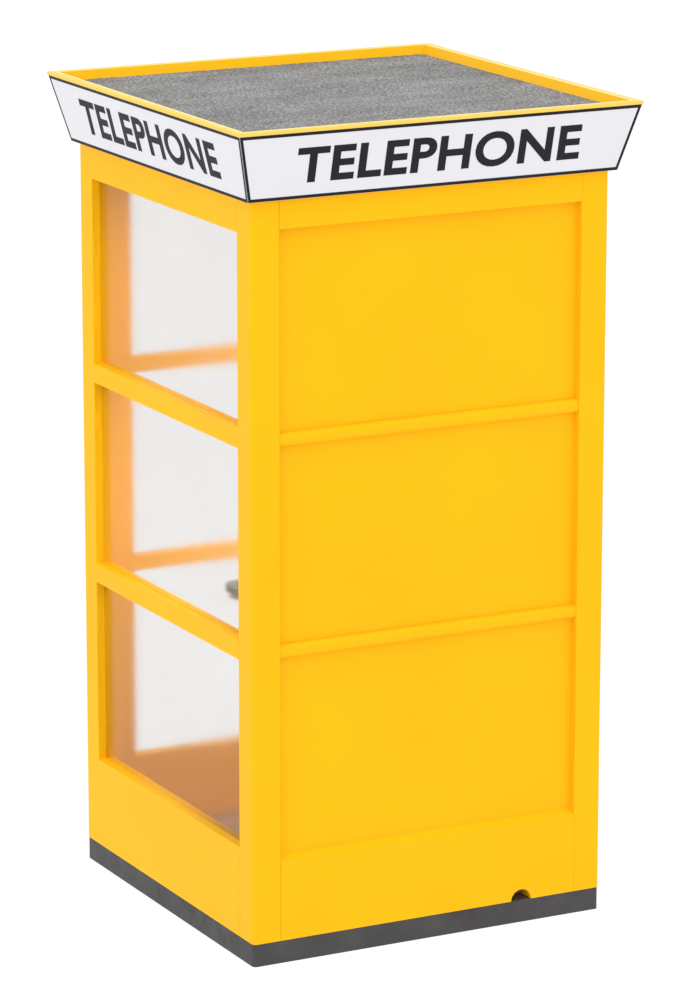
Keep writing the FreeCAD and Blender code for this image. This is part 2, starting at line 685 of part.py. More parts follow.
def pull_handle(face_y, outward):
    """A D-shaped bar on two rosettes. outward is -1 outside and +1 inside."""
    x = -LEAF_HALF + DOOR_STILE_W / 2
    z0, z1 = HANDLE_Z - HANDLE_LEN / 2, HANDLE_Z + HANDLE_LEN / 2
    bend = 2 * HANDLE_R
    bar_y = face_y + outward * HANDLE_REACH
    near_y = bar_y - outward * bend
    turn = bend * (1 - math.sqrt(0.5))
    face_low, face_high = Vector(x, face_y, z0), Vector(x, face_y, z1)
    path = Part.Wire([
        Part.makeLine(face_low, Vector(x, near_y, z0)),
        Part.Arc(Vector(x, near_y, z0), Vector(x, bar_y - outward * turn, z0 + turn),
                 Vector(x, bar_y, z0 + bend)).toShape(),
        Part.makeLine(Vector(x, bar_y, z0 + bend), Vector(x, bar_y, z1 - bend)),
        Part.Arc(Vector(x, bar_y, z1 - bend), Vector(x, bar_y - outward * turn, z1 - turn),
                 Vector(x, near_y, z1)).toShape(),
        Part.makeLine(Vector(x, near_y, z1), face_high)])
    section = Part.Wire([Part.makeCircle(HANDLE_R, face_low, Vector(0, 1, 0))])
    bar = path.makePipeShell([section], True, True)
    rosettes = [rod(ROSETTE_R, (x, face_y, z), (x, face_y + outward * ROSETTE_T, z)) for z in (z0, z1)]
    return bar.fuse(rosettes).removeSplitter()


def door_handles():
    return [pull_handle(LEAF_Y0, -1), pull_handle(LEAF_Y1, 1)]


# ---------------------------------------------------------------- hinges
def knuckle_spans(z):
    """The frame's two knuckles and the door's middle one, for a hinge centred at z."""
    low, third = z - HINGE_H / 2, HINGE_H / 3
    half_gap = KNUCKLE_GAP / 2
    return ([(low, low + third - half_gap), (low + 2 * third + half_gap, low + HINGE_H)],
            [(low + third + half_gap, low + 2 * third - half_gap)])


def hinge_leaf(z, spans, side, bore_r):
    """One leaf with its knuckles. side is +1 on the frame and -1 on the door."""
    near = HINGE_X + side * (KNUCKLE_R + 1.5)
    far = near + side * (HINGE_LEAF_W - KNUCKLE_R)
    y0, y1 = -HALF - HINGE_LEAF_T, -HALF
    leaf = box(near, far, y0, y1, z - HINGE_H / 2, z + HINGE_H / 2)
    for z0, z1 in spans:
        leaf = leaf.fuse([box(HINGE_X, near, y0, y1 - 0.5, z0, z1),
                          rod(KNUCKLE_R, (HINGE_X, HINGE_Y, z0), (HINGE_X, HINGE_Y, z1))])
    bore = rod(bore_r, (HINGE_X, HINGE_Y, z - HINGE_H), (HINGE_X, HINGE_Y, z + HINGE_H))
    return leaf.cut(bore).removeSplitter()


def hinge_leaves_frame():
    return [hinge_leaf(z, knuckle_spans(z)[0], 1, PIN_R) for z in HINGE_ZS]


def hinge_leaves_door():
    return [hinge_leaf(z, knuckle_spans(z)[1], -1, PIN_R + RUNNING) for z in HINGE_ZS]


def hinge_pins():
    pins = []
    for z in HINGE_ZS:
        top, low = z + HINGE_H / 2, z - HINGE_H / 2
        pin = rod(PIN_R, (HINGE_X, HINGE_Y, low), (HINGE_X, HINGE_Y, top))
        heads = [rod(KNUCKLE_R - 0.8, (HINGE_X, HINGE_Y, top), (HINGE_X, HINGE_Y, top + 5)),
                 rod(KNUCKLE_R - 0.8, (HINGE_X, HINGE_Y, low - 5), (HINGE_X, HINGE_Y, low))]
        pins.append(pin.fuse(heads).removeSplitter())
    return pins


# ---------------------------------------------------------------- door closer
def flat_link(start, end, z0, z1):
    """A flat bar with round ends between two pivots."""
    start, end = Vector(start.x, start.y, z0), Vector(end.x, end.y, z0)
    along = (end - start).normalize()
    side = Vector(-along.y, along.x, 0) * (ARM_W / 2)
    edges = [Part.makeLine(start + side, end + side),
             Part.Arc(end + side, end + along * (ARM_W / 2), end - side).toShape(),
             Part.makeLine(end - side, start - side),
             Part.Arc(start - side, start - along * (ARM_W / 2), start + side).toShape()]
    return Part.Face(Part.Wire(edges)).extrude(Vector(0, 0, z1 - z0))


def closer_body():
    x0 = SPINDLE_X - CLOSER_LEN * 0.2
    shell = box(x0, x0 + CLOSER_LEN, LEAF_Y1, LEAF_Y1 + CLOSER_DEPTH, CLOSER_Z0, CLOSER_Z1)
    shell = soften(shell, 8.0, lambda e: at(e, y=LEAF_Y1 + CLOSER_DEPTH)
                   or (runs_along(e, "y") and e.Length > 1))
    spindle = rod(SPINDLE_R, (SPINDLE_X, SPINDLE_Y, CLOSER_Z1 - 1), (SPINDLE_X, SPINDLE_Y, ARM_Z1))
    top = HEAD_FRONT_Z - STOP_W - STOP_CLEAR
    plate = box(x0, x0 + CLOSER_LEN, LEAF_Y1, LEAF_Y1 + 4, CLOSER_Z0 + 9, top)
    return shell.fuse([spindle, plate]).removeSplitter()


def closer_arm():
    """From the closer's spindle to the elbow; its elbow pin stands up through the link."""
    spindle = Vector(SPINDLE_X, SPINDLE_Y, 0)
    bar = flat_link(spindle, ELBOW, ARM_Z0, ARM_Z1)
    bore = rod(SPINDLE_R + RUNNING, (SPINDLE_X, SPINDLE_Y, ARM_Z0 - 1), (SPINDLE_X, SPINDLE_Y, ARM_Z1 + 1))
    pin = rod(SPINDLE_R, (ELBOW.x, ELBOW.y, ARM_Z0), (ELBOW.x, ELBOW.y, LINK_Z1))
    return bar.cut(bore).fuse(pin).removeSplitter()


def closer_link():
    """From the elbow to the frame's bracket, parallel to the leaf at every angle."""
    bar = flat_link(ELBOW, FRAME_PIVOT, LINK_Z0, LINK_Z1)
    bores = [rod(SPINDLE_R + RUNNING, (p.x, p.y, LINK_Z0 - 1), (p.x, p.y, LINK_Z1 + 1)) for p in (ELBOW,)]
    bores.append(rod(SPINDLE_R + 0.5, (FRAME_PIVOT.x, FRAME_PIVOT.y, LINK_Z0 - 1),
                     (FRAME_PIVOT.x, FRAME_PIVOT.y, LINK_Z1 + 1)))
    return bar.cut(bores)


def closer_bracket():
    """An angle on the inner face of the front head, with the fixed pivot pin hanging from it."""
    x, y = FRAME_PIVOT.x, FRAME_PIVOT.y
    seat_z = LINK_Z1 + ARM_GAP
    tongue = box(x - 16, x + 16, -INNER, y + 16, seat_z, seat_z + 5)
    back = box(x - 30, x + 30, -INNER, -INNER + 5, seat_z, seat_z + 44)
    tongue = soften(tongue, 12.0, lambda e: runs_along(e, "z") and at(e, y=y + 16))
    pin = rod(SPINDLE_R, (x, y, LINK_Z0 - 3), (x, y, seat_z))
    return back.fuse([tongue, pin]).removeSplitter()


# ---------------------------------------------------------------- backboard, shelf and directories
def backboard():
    board = box(-BOARD_HALF_W, BOARD_HALF_W, BOARD_Y, WALL_IN, BOARD_Z0, BOARD_Z1)
    return soften(board, 2.0, lambda e: at(e, y=BOARD_Y))


def shelf():
    z0 = SHELF_Z - SHELF_T
    points = [(-BOARD_HALF_W, SHELF_FRONT_Y, z0), (BOARD_HALF_W, SHELF_FRONT_Y, z0),
              (BOARD_HALF_W, BOARD_Y, z0), (-BOARD_HALF_W, BOARD_Y, z0)]
    plate = prism(points, [SHELF_CORNER_R, SHELF_CORNER_R, 0, 0], (0, 0, SHELF_T))
    hole_r = CONDUIT_R + 1.5
    x = CONDUIT_PHONE_X
    slot = box(x - hole_r, x + hole_r, CONDUIT_Y, BOARD_Y + 1, z0 - 1, SHELF_Z + 1)
    hole = rod(hole_r, (x, CONDUIT_Y, z0 - 1), (x, CONDUIT_Y, SHELF_Z + 1))
    return plate.cut([hole, slot]).removeSplitter()


def shelf_brackets():
    """Three gusset plates under the shelf; their noses carry the directory rod."""
    top = SHELF_Z - SHELF_T
    nose = SPINE_R + 3.0
    outline = [(BOARD_Y, top), (BOARD_Y, BOARD_Z0 + 8), (BOARD_Y - 30, BOARD_Z0 + 8),
               (SHELF_FRONT_Y + 40, ROD_Z - 4), (ROD_Y - nose, ROD_Z - nose), (ROD_Y - nose, ROD_Z + nose),
               (SHELF_FRONT_Y + 6, top)]
    radii = [0, 0, 10, 40, 9, 9, 4]
    brackets = []
    for x in BRACKET_XS:
        x0 = x - BRACKET_T / 2
        x1 = x0 + BRACKET_T
        plate = prism([(x0, y, z) for y, z in outline], radii, (BRACKET_T, 0, 0))
        rod_hole = rod(ROD_R, (x0 - 1, ROD_Y, ROD_Z), (x1 + 1, ROD_Y, ROD_Z))
        notch_r = CONDUIT_R + 1.5
        notch = rod(notch_r, (x0 - 1, CONDUIT_Y, CONDUIT_RUN_Z), (x1 + 1, CONDUIT_Y, CONDUIT_RUN_Z))
        throat = box(x0 - 1, x1 + 1, CONDUIT_Y, BOARD_Y + 1,
                     CONDUIT_RUN_Z - notch_r, CONDUIT_RUN_Z + notch_r)
        brackets.append(plate.cut([rod_hole, notch, throat]))
    return brackets


def directory_rod():
    end = BRACKET_REACH + BRACKET_T / 2 + 8
    return rod(ROD_R, (-end, ROD_Y, ROD_Z), (end, ROD_Y, ROD_Z))


def directory():
    """The right-hand book: a block in its binder, hung by a tube that turns on the rod."""
    x0, x1 = BOOK_X - BOOK_W / 2, BOOK_X + BOOK_W / 2
    block = box(x0, x1, ROD_Y - BOOK_T / 2, ROD_Y + BOOK_T / 2, ROD_Z - BOOK_H, ROD_Z - SPINE_R)
    block = soften(block, 3.0, lambda e: runs_along(e, "x"))
    web = box(x0, x1, ROD_Y - 4, ROD_Y + 4, ROD_Z - SPINE_R - 1, ROD_Z)
    tube = rod(SPINE_R, (x0, ROD_Y, ROD_Z), (x1, ROD_Y, ROD_Z))
    bore = rod(ROD_R + RUNNING, (x0 - 1, ROD_Y, ROD_Z), (x1 + 1, ROD_Y, ROD_Z))
    return block.fuse([web, tube]).cut(bore).removeSplitter()


# ---------------------------------------------------------------- telephone
def phone_housing():
    """A cast shell, open at the back, with the coin cup, the cash opening and holes for moving parts."""
    half, wall = PHONE_W / 2, PHONE_WALL
    shell = box(-half, half, PHONE_Y, BOARD_Y, PHONE_Z0, PHONE_Z1)
    shell = soften(shell, PHONE_EDGE_R, lambda e: at(e, y=PHONE_Y) or runs_along(e, "y"))
    hollow = box(-half + wall, half - wall, PHONE_Y + wall, BOARD_Y + 1, PHONE_Z0 + wall, PHONE_Z1 - wall)
    shell = shell.cut(soften(hollow, PHONE_EDGE_R - wall, lambda e: at(e, y=PHONE_Y + wall)
                             or runs_along(e, "y")))
    cup_x0, cup_x1 = CUP_X - CUP_W / 2, CUP_X + CUP_W / 2
    cup_top = CUP_Z0 + CUP_H + 8
    lining = box(cup_x0 - 3, cup_x1 + 3, PHONE_Y + wall / 2, PHONE_Y + wall + CUP_DEPTH + 3,
                 CUP_Z0 - 3, cup_top + 3)
    cup = box(cup_x0, cup_x1, PHONE_Y + wall, PHONE_Y + wall + CUP_DEPTH, CUP_Z0, cup_top)
    mouth = box(cup_x0, cup_x1, PHONE_Y - 1, PHONE_Y + wall + 1, CUP_Z0, CUP_Z0 + CUP_H)
    shell = shell.fuse(lining).cut([cup, mouth])
    cash = box(CASH_X - CASH_W / 2, CASH_X + CASH_W / 2, PHONE_Y - 1, PHONE_Y + wall + 1,
               CASH_Z0, CASH_Z0 + CASH_H)
    button = rod(BUTTON_R + 0.3, (BUTTON_X, PHONE_Y - 1, BUTTON_Z), (BUTTON_X, PHONE_Y + wall + 1, BUTTON_Z))
    slot = box(-half - 1, -half + wall + 1, CAP_Y1 + 1, CAP_Y1 + 1 + PRONG_T + 2, PRONG_TOP - PRONG_T - 3,
               PRONG_TOP + 18)
    coins = box(COIN_X - 1.6, COIN_X + 1.6, PHONE_Y - 1, PHONE_Y + wall + 1, DIAL_Z + 56, DIAL_Z + 86)
    top_pipe = rod(CONDUIT_R + 0.5, (CONDUIT_PHONE_X, CONDUIT_Y, PHONE_Z0 - 1),
                   (CONDUIT_PHONE_X, CONDUIT_Y, PHONE_Z1 + 1))
    gland = rod(GRIP_R - 3, (CUP_X, BOARD_Y - 30, PHONE_Z0 - 1), (CUP_X, BOARD_Y - 30, PHONE_Z0 + wall + 1))
    dial_hole = rod(5.0, (0, PHONE_Y - 1, DIAL_Z), (0, PHONE_Y + wall + 1, DIAL_Z))
    shell = shell.cut([cash, button, slot, coins, top_pipe, gland, dial_hole])
    flap_pin = rod(1.0, (cup_x0 - 1, FLAP_AXIS_Y, FLAP_AXIS_Z), (cup_x1 + 1, FLAP_AXIS_Y, FLAP_AXIS_Z))
    return shell.fuse([flap_pin] + hook_pivot() + cash_knuckles()).removeSplitter()


def hook_pivot():
    """A lug on the housing's left wall inside, with the pin on which the hook lever turns."""
    y0 = CAP_Y1 + 2
    y1 = y0 + PRONG_T
    lug = box(-PHONE_W / 2 + 1, HOOK_PIVOT_X + 9, y1 + 1, y1 + 4, HOOK_PIVOT_Z - 9, HOOK_PIVOT_Z + 9)
    pin = rod(HOOK_PIN_R, (HOOK_PIVOT_X, y0 - 2, HOOK_PIVOT_Z), (HOOK_PIVOT_X, y1 + 2, HOOK_PIVOT_Z))
    return [lug, pin]


def cash_knuckles():
    """The cash door's pin and the two fixed knuckles that hold it."""
    z0, z1 = CASH_Z0 + 0.6, CASH_Z0 + CASH_H - 0.6
    x, y = CASH_HINGE_X, CASH_HINGE_Y
    shapes = [rod(CASH_PIN_R, (x, y, z0), (x, y, z1))]
    for a, b in ((z0, z0 + 7.6), (z1 - 7.6, z1)):
        shapes.append(rod(CASH_BARREL_R, (x, y, a), (x, y, b)))
        shapes.append(box(x - 0.5, x + CASH_BARREL_R, y, PHONE_Y + 1, a, b))
    return shapes


def dial_plate():
    """The fixed ring behind the finger wheel, with its finger stop and its hub."""
    disc = rod(DIAL_R, (0, PHONE_Y - DIAL_PLATE_T, DIAL_Z), (0, PHONE_Y, DIAL_Z))
    disc = soften(disc, 1.5, lambda e: at(e, y=PHONE_Y - DIAL_PLATE_T))
    hub_y = PHONE_Y - DIAL_PLATE_T - WHEEL_GAP - WHEEL_T - 1.0
    hub = rod(5.0, (0, hub_y, DIAL_Z), (0, PHONE_Y + PHONE_WALL, DIAL_Z))
    angle = math.radians(-32)
    along = Vector(math.cos(angle), 0, math.sin(angle))
    root_r, tip_r = WHEEL_R + 2.5, FINGER_CIRCLE_R + 3
    centre = Vector(0, 0, DIAL_Z)
    front_y = PHONE_Y - DIAL_PLATE_T - WHEEL_GAP - WHEEL_T - 0.8

    def place(radius, y):
        point = centre + along * radius
        return (point.x, y, point.z)

    post = rod(2.2, place(root_r, PHONE_Y - 1), place(root_r, front_y - 2.4))
    finger = rod(1.2, place(root_r, front_y - 1.2), place(tip_r, front_y - 1.2))
    return disc.fuse([hub, post, finger]).removeSplitter()


def dial_wheel():
    y1 = PHONE_Y - DIAL_PLATE_T - WHEEL_GAP
    wheel = rod(WHEEL_R, (0, y1 - WHEEL_T, DIAL_Z), (0, y1, DIAL_Z))
    holes = [rod(5.0 + RUNNING, (0, y1 - WHEEL_T - 1, DIAL_Z), (0, y1 + 1, DIAL_Z))]
    for i in range(10):
        angle = math.radians(FINGER_FIRST + FINGER_STEP * i)
        x, z = FINGER_CIRCLE_R * math.cos(angle), DIAL_Z + FINGER_CIRCLE_R * math.sin(angle)
        holes.append(rod(FINGER_R, (x, y1 - WHEEL_T - 1, z), (x, y1 + 1, z)))
    return wheel.cut(holes)


def coin_flap():
    """Hangs in the cup's mouth from a pin along its top edge, and swings inward."""
    x0, x1 = CUP_X - CUP_W / 2 + 0.8, CUP_X + CUP_W / 2 - 0.8
    y0 = PHONE_Y + 0.8
    plate = box(x0, x1, y0, y0 + FLAP_T, CUP_Z0 + 1.5, FLAP_AXIS_Z)
    barrel = rod(1.9, (x0, FLAP_AXIS_Y, FLAP_AXIS_Z), (x1, FLAP_AXIS_Y, FLAP_AXIS_Z))
    bore = rod(1.0 + RUNNING, (x0 - 1, FLAP_AXIS_Y, FLAP_AXIS_Z), (x1 + 1, FLAP_AXIS_Y, FLAP_AXIS_Z))
    return plate.fuse(barrel).cut(bore).removeSplitter()


def cash_door():
    """The locked cover of the cash box, hinged along its right edge."""
    x0, x1 = CASH_X - CASH_W / 2 + 0.6, CASH_X + CASH_W / 2 - 0.6
    z0, z1 = CASH_Z0 + 0.6, CASH_Z0 + CASH_H - 0.6
    plate = front_plate(x0, x1, z0, z1, PHONE_Y - 1.5, PHONE_Y + 2.5, 0)
    x, y = CASH_HINGE_X, CASH_HINGE_Y
    barrel = rod(CASH_BARREL_R, (x, y, z0 + 8), (x, y, z1 - 8))
    strap = box(x1 - 6, x, PHONE_Y - 3.2, PHONE_Y - 1.2, z0 + 8, z1 - 8)
    lock = rod(8.0, (x0 + 14, PHONE_Y - 4.0, (z0 + z1) / 2), (x0 + 14, PHONE_Y - 1, (z0 + z1) / 2))
    bore = rod(CASH_PIN_R + RUNNING, (x, y, z0), (x, y, z1))
    return plate.fuse([strap, barrel, lock]).cut(bore).removeSplitter()


def refund_button():
    y = PHONE_Y
    stem = rod(BUTTON_R, (BUTTON_X, y - 10, BUTTON_Z), (BUTTON_X, y + PHONE_WALL + 3, BUTTON_Z))
    stem = soften(stem, 1.5, lambda e: at(e, y=y - 10))
    collar = rod(BUTTON_R + 3, (BUTTON_X, y + PHONE_WALL + 0.4, BUTTON_Z),
                 (BUTTON_X, y + PHONE_WALL + 3, BUTTON_Z))
    return stem.fuse(collar).removeSplitter()


def cord_gland():
    """The threaded gland under the housing where the handset's cord would leave it."""
    x, y = CUP_X, BOARD_Y - 30
    body = rod(GRIP_R - 3, (x, y, PHONE_Z0 - 12), (x, y, PHONE_Z0 + PHONE_WALL + 6))
    nut = rod(GRIP_R, (x, y, PHONE_Z0 - 6), (x, y, PHONE_Z0))
    return body.fuse(nut).cut(rod(4.0, (x, y, PHONE_Z0 - 13), (x, y, PHONE_Z0 + 11))).removeSplitter()


def hook_lever():
    """A fork that holds the ear cap, on a lever that turns inside the housing."""
    y0 = CAP_Y1 + 2
    y1 = y0 + PRONG_T
    z0, z1 = PRONG_TOP - PRONG_T, PRONG_TOP
    gap = PRONG_GAP / 2
    bar = box(HANDSET_X - gap - PRONG_T, HOOK_PIVOT_X, y0, y1, z0, z1)
    prongs = [box(HANDSET_X + side * gap, HANDSET_X + side * (gap + PRONG_T), CAP_Y0 - 6, y0 + 1, z0, z1)
              for side in (-1, 1)]
    prongs = [soften(p, 2.0, lambda e: at(e, y=CAP_Y0 - 6)) for p in prongs]
    boss = rod(8.0, (HOOK_PIVOT_X, y0, HOOK_PIVOT_Z), (HOOK_PIVOT_X, y1, HOOK_PIVOT_Z))
    x, z = HOOK_PIVOT_X, HOOK_PIVOT_Z
    bore = rod(HOOK_PIN_R + RUNNING, (x, y0 - 1, z), (x, y1 + 1, z))
    return bar.fuse(prongs + [boss]).cut(bore).removeSplitter()


def handset():
    """Grip and two caps; the ear cap sits on the hook's prongs."""
    x = HANDSET_X
    caps = []
    for z in (EAR_Z, MOUTH_Z):
        cap = rod(CAP_R, (x, CAP_Y0, z), (x, CAP_Y1, z))
        caps.append(soften(cap, 4.0, lambda e: e.Curve.TypeId == "Part::GeomCircle"))
    lean = 30.0
    knees = [(x, CAP_Y0 + 6, EAR_Z), (x, GRIP_Y, EAR_Z - lean), (x, GRIP_Y, MOUTH_Z + lean),
             (x, CAP_Y0 + 6, MOUTH_Z)]
    bars = [rod(GRIP_R, a, b) for a, b in zip(knees, knees[1:])]
    balls = [Part.makeSphere(GRIP_R, Vector(*p)) for p in knees]
    return caps[0].fuse(caps[1:] + bars + balls).removeSplitter()


# ---------------------------------------------------------------- conduit
def pipe(points, radius, bend):
    """A round pipe through the points, with a bend at each inner one."""
    points = [Vector(*p) for p in points]
    edges, start = [], points[0]
    for before, corner, after in zip(points, points[1:], points[2:]):
        back, ahead = (before - corner).normalize(), (after - corner).normalize()
        half = back.getAngle(ahead) / 2
        reach = bend / math.tan(half)
        first, last = corner + back * reach, corner + ahead * reach
        middle = corner + (back + ahead).normalize() * (bend / math.sin(half) - bend)
        edges += [Part.makeLine(start, first), Part.Arc(first, middle, last).toShape()]
        start = last
    edges.append(Part.makeLine(start, points[-1]))
    section = Part.Wire([Part.makeCircle(radius, points[0], points[1] - points[0])])
    return Part.Wire(edges).makePipeShell([section], True, True)


def cable_conduit():
    """The steel pipe from the cable notch up to the telephone, and on up to the ceiling."""
    run_z = CONDUIT_RUN_Z
    lower = pipe([(NOTCH_X, CONDUIT_Y, FLOOR_Z + 4), (NOTCH_X, CONDUIT_Y, run_z),
                  (CONDUIT_PHONE_X, CONDUIT_Y, run_z), (CONDUIT_PHONE_X, CONDUIT_Y, PHONE_Z0 + 8)],
                 CONDUIT_R, CONDUIT_BEND_R)
    x = CONDUIT_PHONE_X
    upper = rod(CONDUIT_R, (x, CONDUIT_Y, PHONE_Z1 - 8), (x, CONDUIT_Y, CEILING_Z))
    return [lower, upper]


def conduit_clips():
    """Saddles round the pipe, each on a foot against the wall behind it."""
    clips = []
    for x, z, wall_y in ((NOTCH_X, BACK_Z0 - 50, WALL_IN), (CONDUIT_PHONE_X, BOARD_Z1 - 9, BOARD_Y),
                         (CONDUIT_PHONE_X, BACK_Z1 + REBATE + 25, WALL_IN)):
        ring = rod(CONDUIT_R + CLIP_T, (x, CONDUIT_Y, z - 9), (x, CONDUIT_Y, z + 9))
        foot = box(x - 28, x + 28, wall_y - CLIP_T, wall_y, z - 9, z + 9)
        neck = box(x - 8, x + 8, CONDUIT_Y, wall_y, z - 9, z + 9)
        space = box(x - 30, x + 30, CONDUIT_Y - 30, wall_y, z - 9, z + 9)
        pipe_space = rod(CONDUIT_R, (x, CONDUIT_Y, z - 10), (x, CONDUIT_Y, z + 10))
        clips.append(ring.fuse([foot, neck]).common(space).cut(pipe_space))
    x, z = (NOTCH_X + CONDUIT_PHONE_X) / 2, CONDUIT_RUN_Z
    ring = rod(CONDUIT_R + CLIP_T, (x - 9, CONDUIT_Y, z), (x + 9, CONDUIT_Y, z))
    foot = box(x - 9, x + 9, BOARD_Y - CLIP_T, BOARD_Y, z - 28, z + 28)
    neck = box(x - 9, x + 9, CONDUIT_Y, BOARD_Y, z - 8, z + 8)
    space = box(x - 9, x + 9, CONDUIT_Y - 30, BOARD_Y, z - 30, z + 30)
    pipe_space = rod(CONDUIT_R, (x - 10, CONDUIT_Y, z), (x + 10, CONDUIT_Y, z))
    clips.append(ring.fuse([foot, neck]).common(space).cut(pipe_space))
    return [clip.removeSplitter() for clip in clips]


# ---------------------------------------------------------------- all nodes
def nodes():
    right_rear, right_front = back_post(), front_post()
    panels = sign_panels()
    book = directory()
    parts = {
        "plinth": [plinth()],
        "floor_plate": [floor_plate()],
        "floor_mat": [floor_mat()],
        "threshold": [threshold()],
        "post_back_right": [right_rear],
        "post_back_left": [mirror_x(right_rear)],
        "post_front_right": [right_front],
        "post_front_left": [mirror_x(right_front)],
        "side_sills": [side_sill(), mirror_x(side_sill())],
        "side_heads": [side_head(), mirror_x(side_head())],
        "side_rails": side_rails() + [mirror_x(r) for r in side_rails()],
        "side_glass": side_panes() + [mirror_x(p) for p in side_panes()],
        "side_beads": side_beads() + [mirror_x(b) for b in side_beads()],
        "back_sill": [back_sill()],
        "back_head": [back_head()],
        "back_rails": back_rails(),
        "back_panels": back_panels(),
        "front_head": [front_head()],
        "door_stops": door_stops(),
        "ceiling_panel": [ceiling_panel()],
        "lamp_base": [lamp_base()],
        "lamp_dome": [lamp_dome()],
        "roof_deck": [roof_deck()],
        "roof_felt": [roof_felt()],
        "roof_rim": roof_rim(),
        "sign_frame": sign_frame(),
        "sign_panel_back": [panels[0]],
        "sign_panel_front": [panels[2]],
        "sign_panels_side": [panels[1], panels[3]],
        "door_hinge_stile": [door_stile()],
        "door_lock_stile": [mirror_x(door_stile())],
        "door_rails": door_rails(),
        "door_kick_panel": [door_kick_panel()],
        "door_glass": door_panes(),
        "door_beads": door_beads(),
        "door_handles": door_handles(),
        "hinge_leaves_frame": hinge_leaves_frame(),
        "hinge_leaves_door": hinge_leaves_door(),
        "hinge_pins": hinge_pins(),
        "closer_body": [closer_body()],
        "closer_arm": [closer_arm()],
        "closer_link": [closer_link()],
        "closer_bracket": [closer_bracket()],
        "backboard": [backboard()],
        "shelf": [shelf()],
        "shelf_brackets": shelf_brackets(),
        "directory_rod": [directory_rod()],
        "directory_right": [book],
        "directory_left": [mirror_x(book)],
        "phone_housing": [phone_housing()],
        "dial_plate": [dial_plate()],
        "dial_wheel": [dial_wheel()],
        "coin_flap": [coin_flap()],
        "cash_door": [cash_door()],
        "refund_button": [refund_button()],
        "cord_gland": [cord_gland()],
        "hook_lever": [hook_lever()],
        "handset": [handset()],
        "cable_conduit": cable_conduit(),
        "conduit_clips": conduit_clips(),
    }
    return {name: group(shapes) for name, shapes in parts.items()}


def main():
    os.makedirs("parts", exist_ok=True)
    for name, shape in nodes().items():
        for solid in shape.Solids:
            if not solid.isValid() or solid.Volume <= 0:
                raise ValueError("bad solid in " + name)
        if len(shape.Solids) == 1:
            shape = shape.Solids[0]
        shape.exportStep("parts/" + name + ".step")
        print(name, len(shape.Solids), "solids", round(shape.Volume / 1000.0, 1), "cm3")


main()
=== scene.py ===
"""Looks of the telephone booth: enamel paint, milky panes, lettered sign panels, grained roof felt and the
fittings of the cabin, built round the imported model."""
import json
import math

import bmesh
import bpy
import numpy as np
from mathutils import Matrix, Vector


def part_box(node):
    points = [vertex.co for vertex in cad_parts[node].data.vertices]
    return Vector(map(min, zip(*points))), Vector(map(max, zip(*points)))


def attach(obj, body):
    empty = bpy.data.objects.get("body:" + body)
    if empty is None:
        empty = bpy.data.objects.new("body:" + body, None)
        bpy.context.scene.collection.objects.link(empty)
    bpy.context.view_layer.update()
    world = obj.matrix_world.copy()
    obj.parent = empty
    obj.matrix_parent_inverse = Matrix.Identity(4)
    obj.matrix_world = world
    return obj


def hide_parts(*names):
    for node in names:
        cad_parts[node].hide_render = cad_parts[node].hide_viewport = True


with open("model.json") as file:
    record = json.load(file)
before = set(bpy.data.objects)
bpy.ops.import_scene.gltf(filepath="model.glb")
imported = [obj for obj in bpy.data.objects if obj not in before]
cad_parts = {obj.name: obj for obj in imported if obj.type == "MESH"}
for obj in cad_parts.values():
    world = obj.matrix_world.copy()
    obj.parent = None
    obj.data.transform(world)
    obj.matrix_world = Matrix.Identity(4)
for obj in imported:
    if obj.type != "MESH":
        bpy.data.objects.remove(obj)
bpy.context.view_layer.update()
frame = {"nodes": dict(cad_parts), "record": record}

MM = 0.001
TAU = 2 * math.pi


# ---------------------------------------------------------------- meshes from arrays
def grid_faces(rows, cols, wrap_rows=False, wrap_cols=False):
    """Quads of a rows-by-cols grid: each joins a point to its neighbours in the next row and column."""
    r = np.arange(rows if wrap_rows else rows - 1)
    c = np.arange(cols if wrap_cols else cols - 1)
    r, c = (a.ravel() for a in np.meshgrid(r, c, indexing="ij"))
    up, right = (r + 1) % rows, (c + 1) % cols
    return np.stack([r * cols + c, r * cols + right, up * cols + right, up * cols + c], axis=1)


class Shape:
    """Points and faces of one piece, gathered from several surfaces."""

    def __init__(self):
        self.points, self.faces, self.count = [], [], 0

    def add(self, points, faces):
        points = np.asarray(points, dtype=float).reshape(-1, 3)
        self.points.append(points)
        self.faces += [np.asarray(f) + self.count for f in faces]
        self.count += len(points)
        return self

    def grid(self, grid, wrap_rows=False, wrap_cols=True, caps=True):
        """A grid of points as a surface. caps closes the first and the last row with one face each."""
        rows, cols = grid.shape[:2]
        faces = [grid_faces(rows, cols, wrap_rows, wrap_cols)]
        if caps:
            faces += [np.arange(cols)[None, ::-1], np.arange(cols)[None, :] + (rows - 1) * cols]
        return self.add(grid, faces)

    def piece(self, name, finish, body, slot, replaces=(), sharp=35):
        """The gathered surfaces as one object, welded, finished and hung on its body."""
        mesh = bpy.data.meshes.new(name)
        loops = np.concatenate([f.ravel() for f in self.faces])
        sizes = np.concatenate([np.full(len(f), f.shape[1]) for f in self.faces])
        mesh.vertices.add(self.count)
        mesh.vertices.foreach_set("co", np.concatenate(self.points).astype(np.float32).ravel())
        mesh.loops.add(len(loops))
        mesh.loops.foreach_set("vertex_index", loops.astype(np.int32))
        mesh.polygons.add(len(sizes))
        mesh.polygons.foreach_set("loop_start", (np.cumsum(sizes) - sizes).astype(np.int32))
        mesh.update(calc_edges=True)
        return hang(bpy.data.objects.new(name, mesh), finish, body, replaces, sharp)


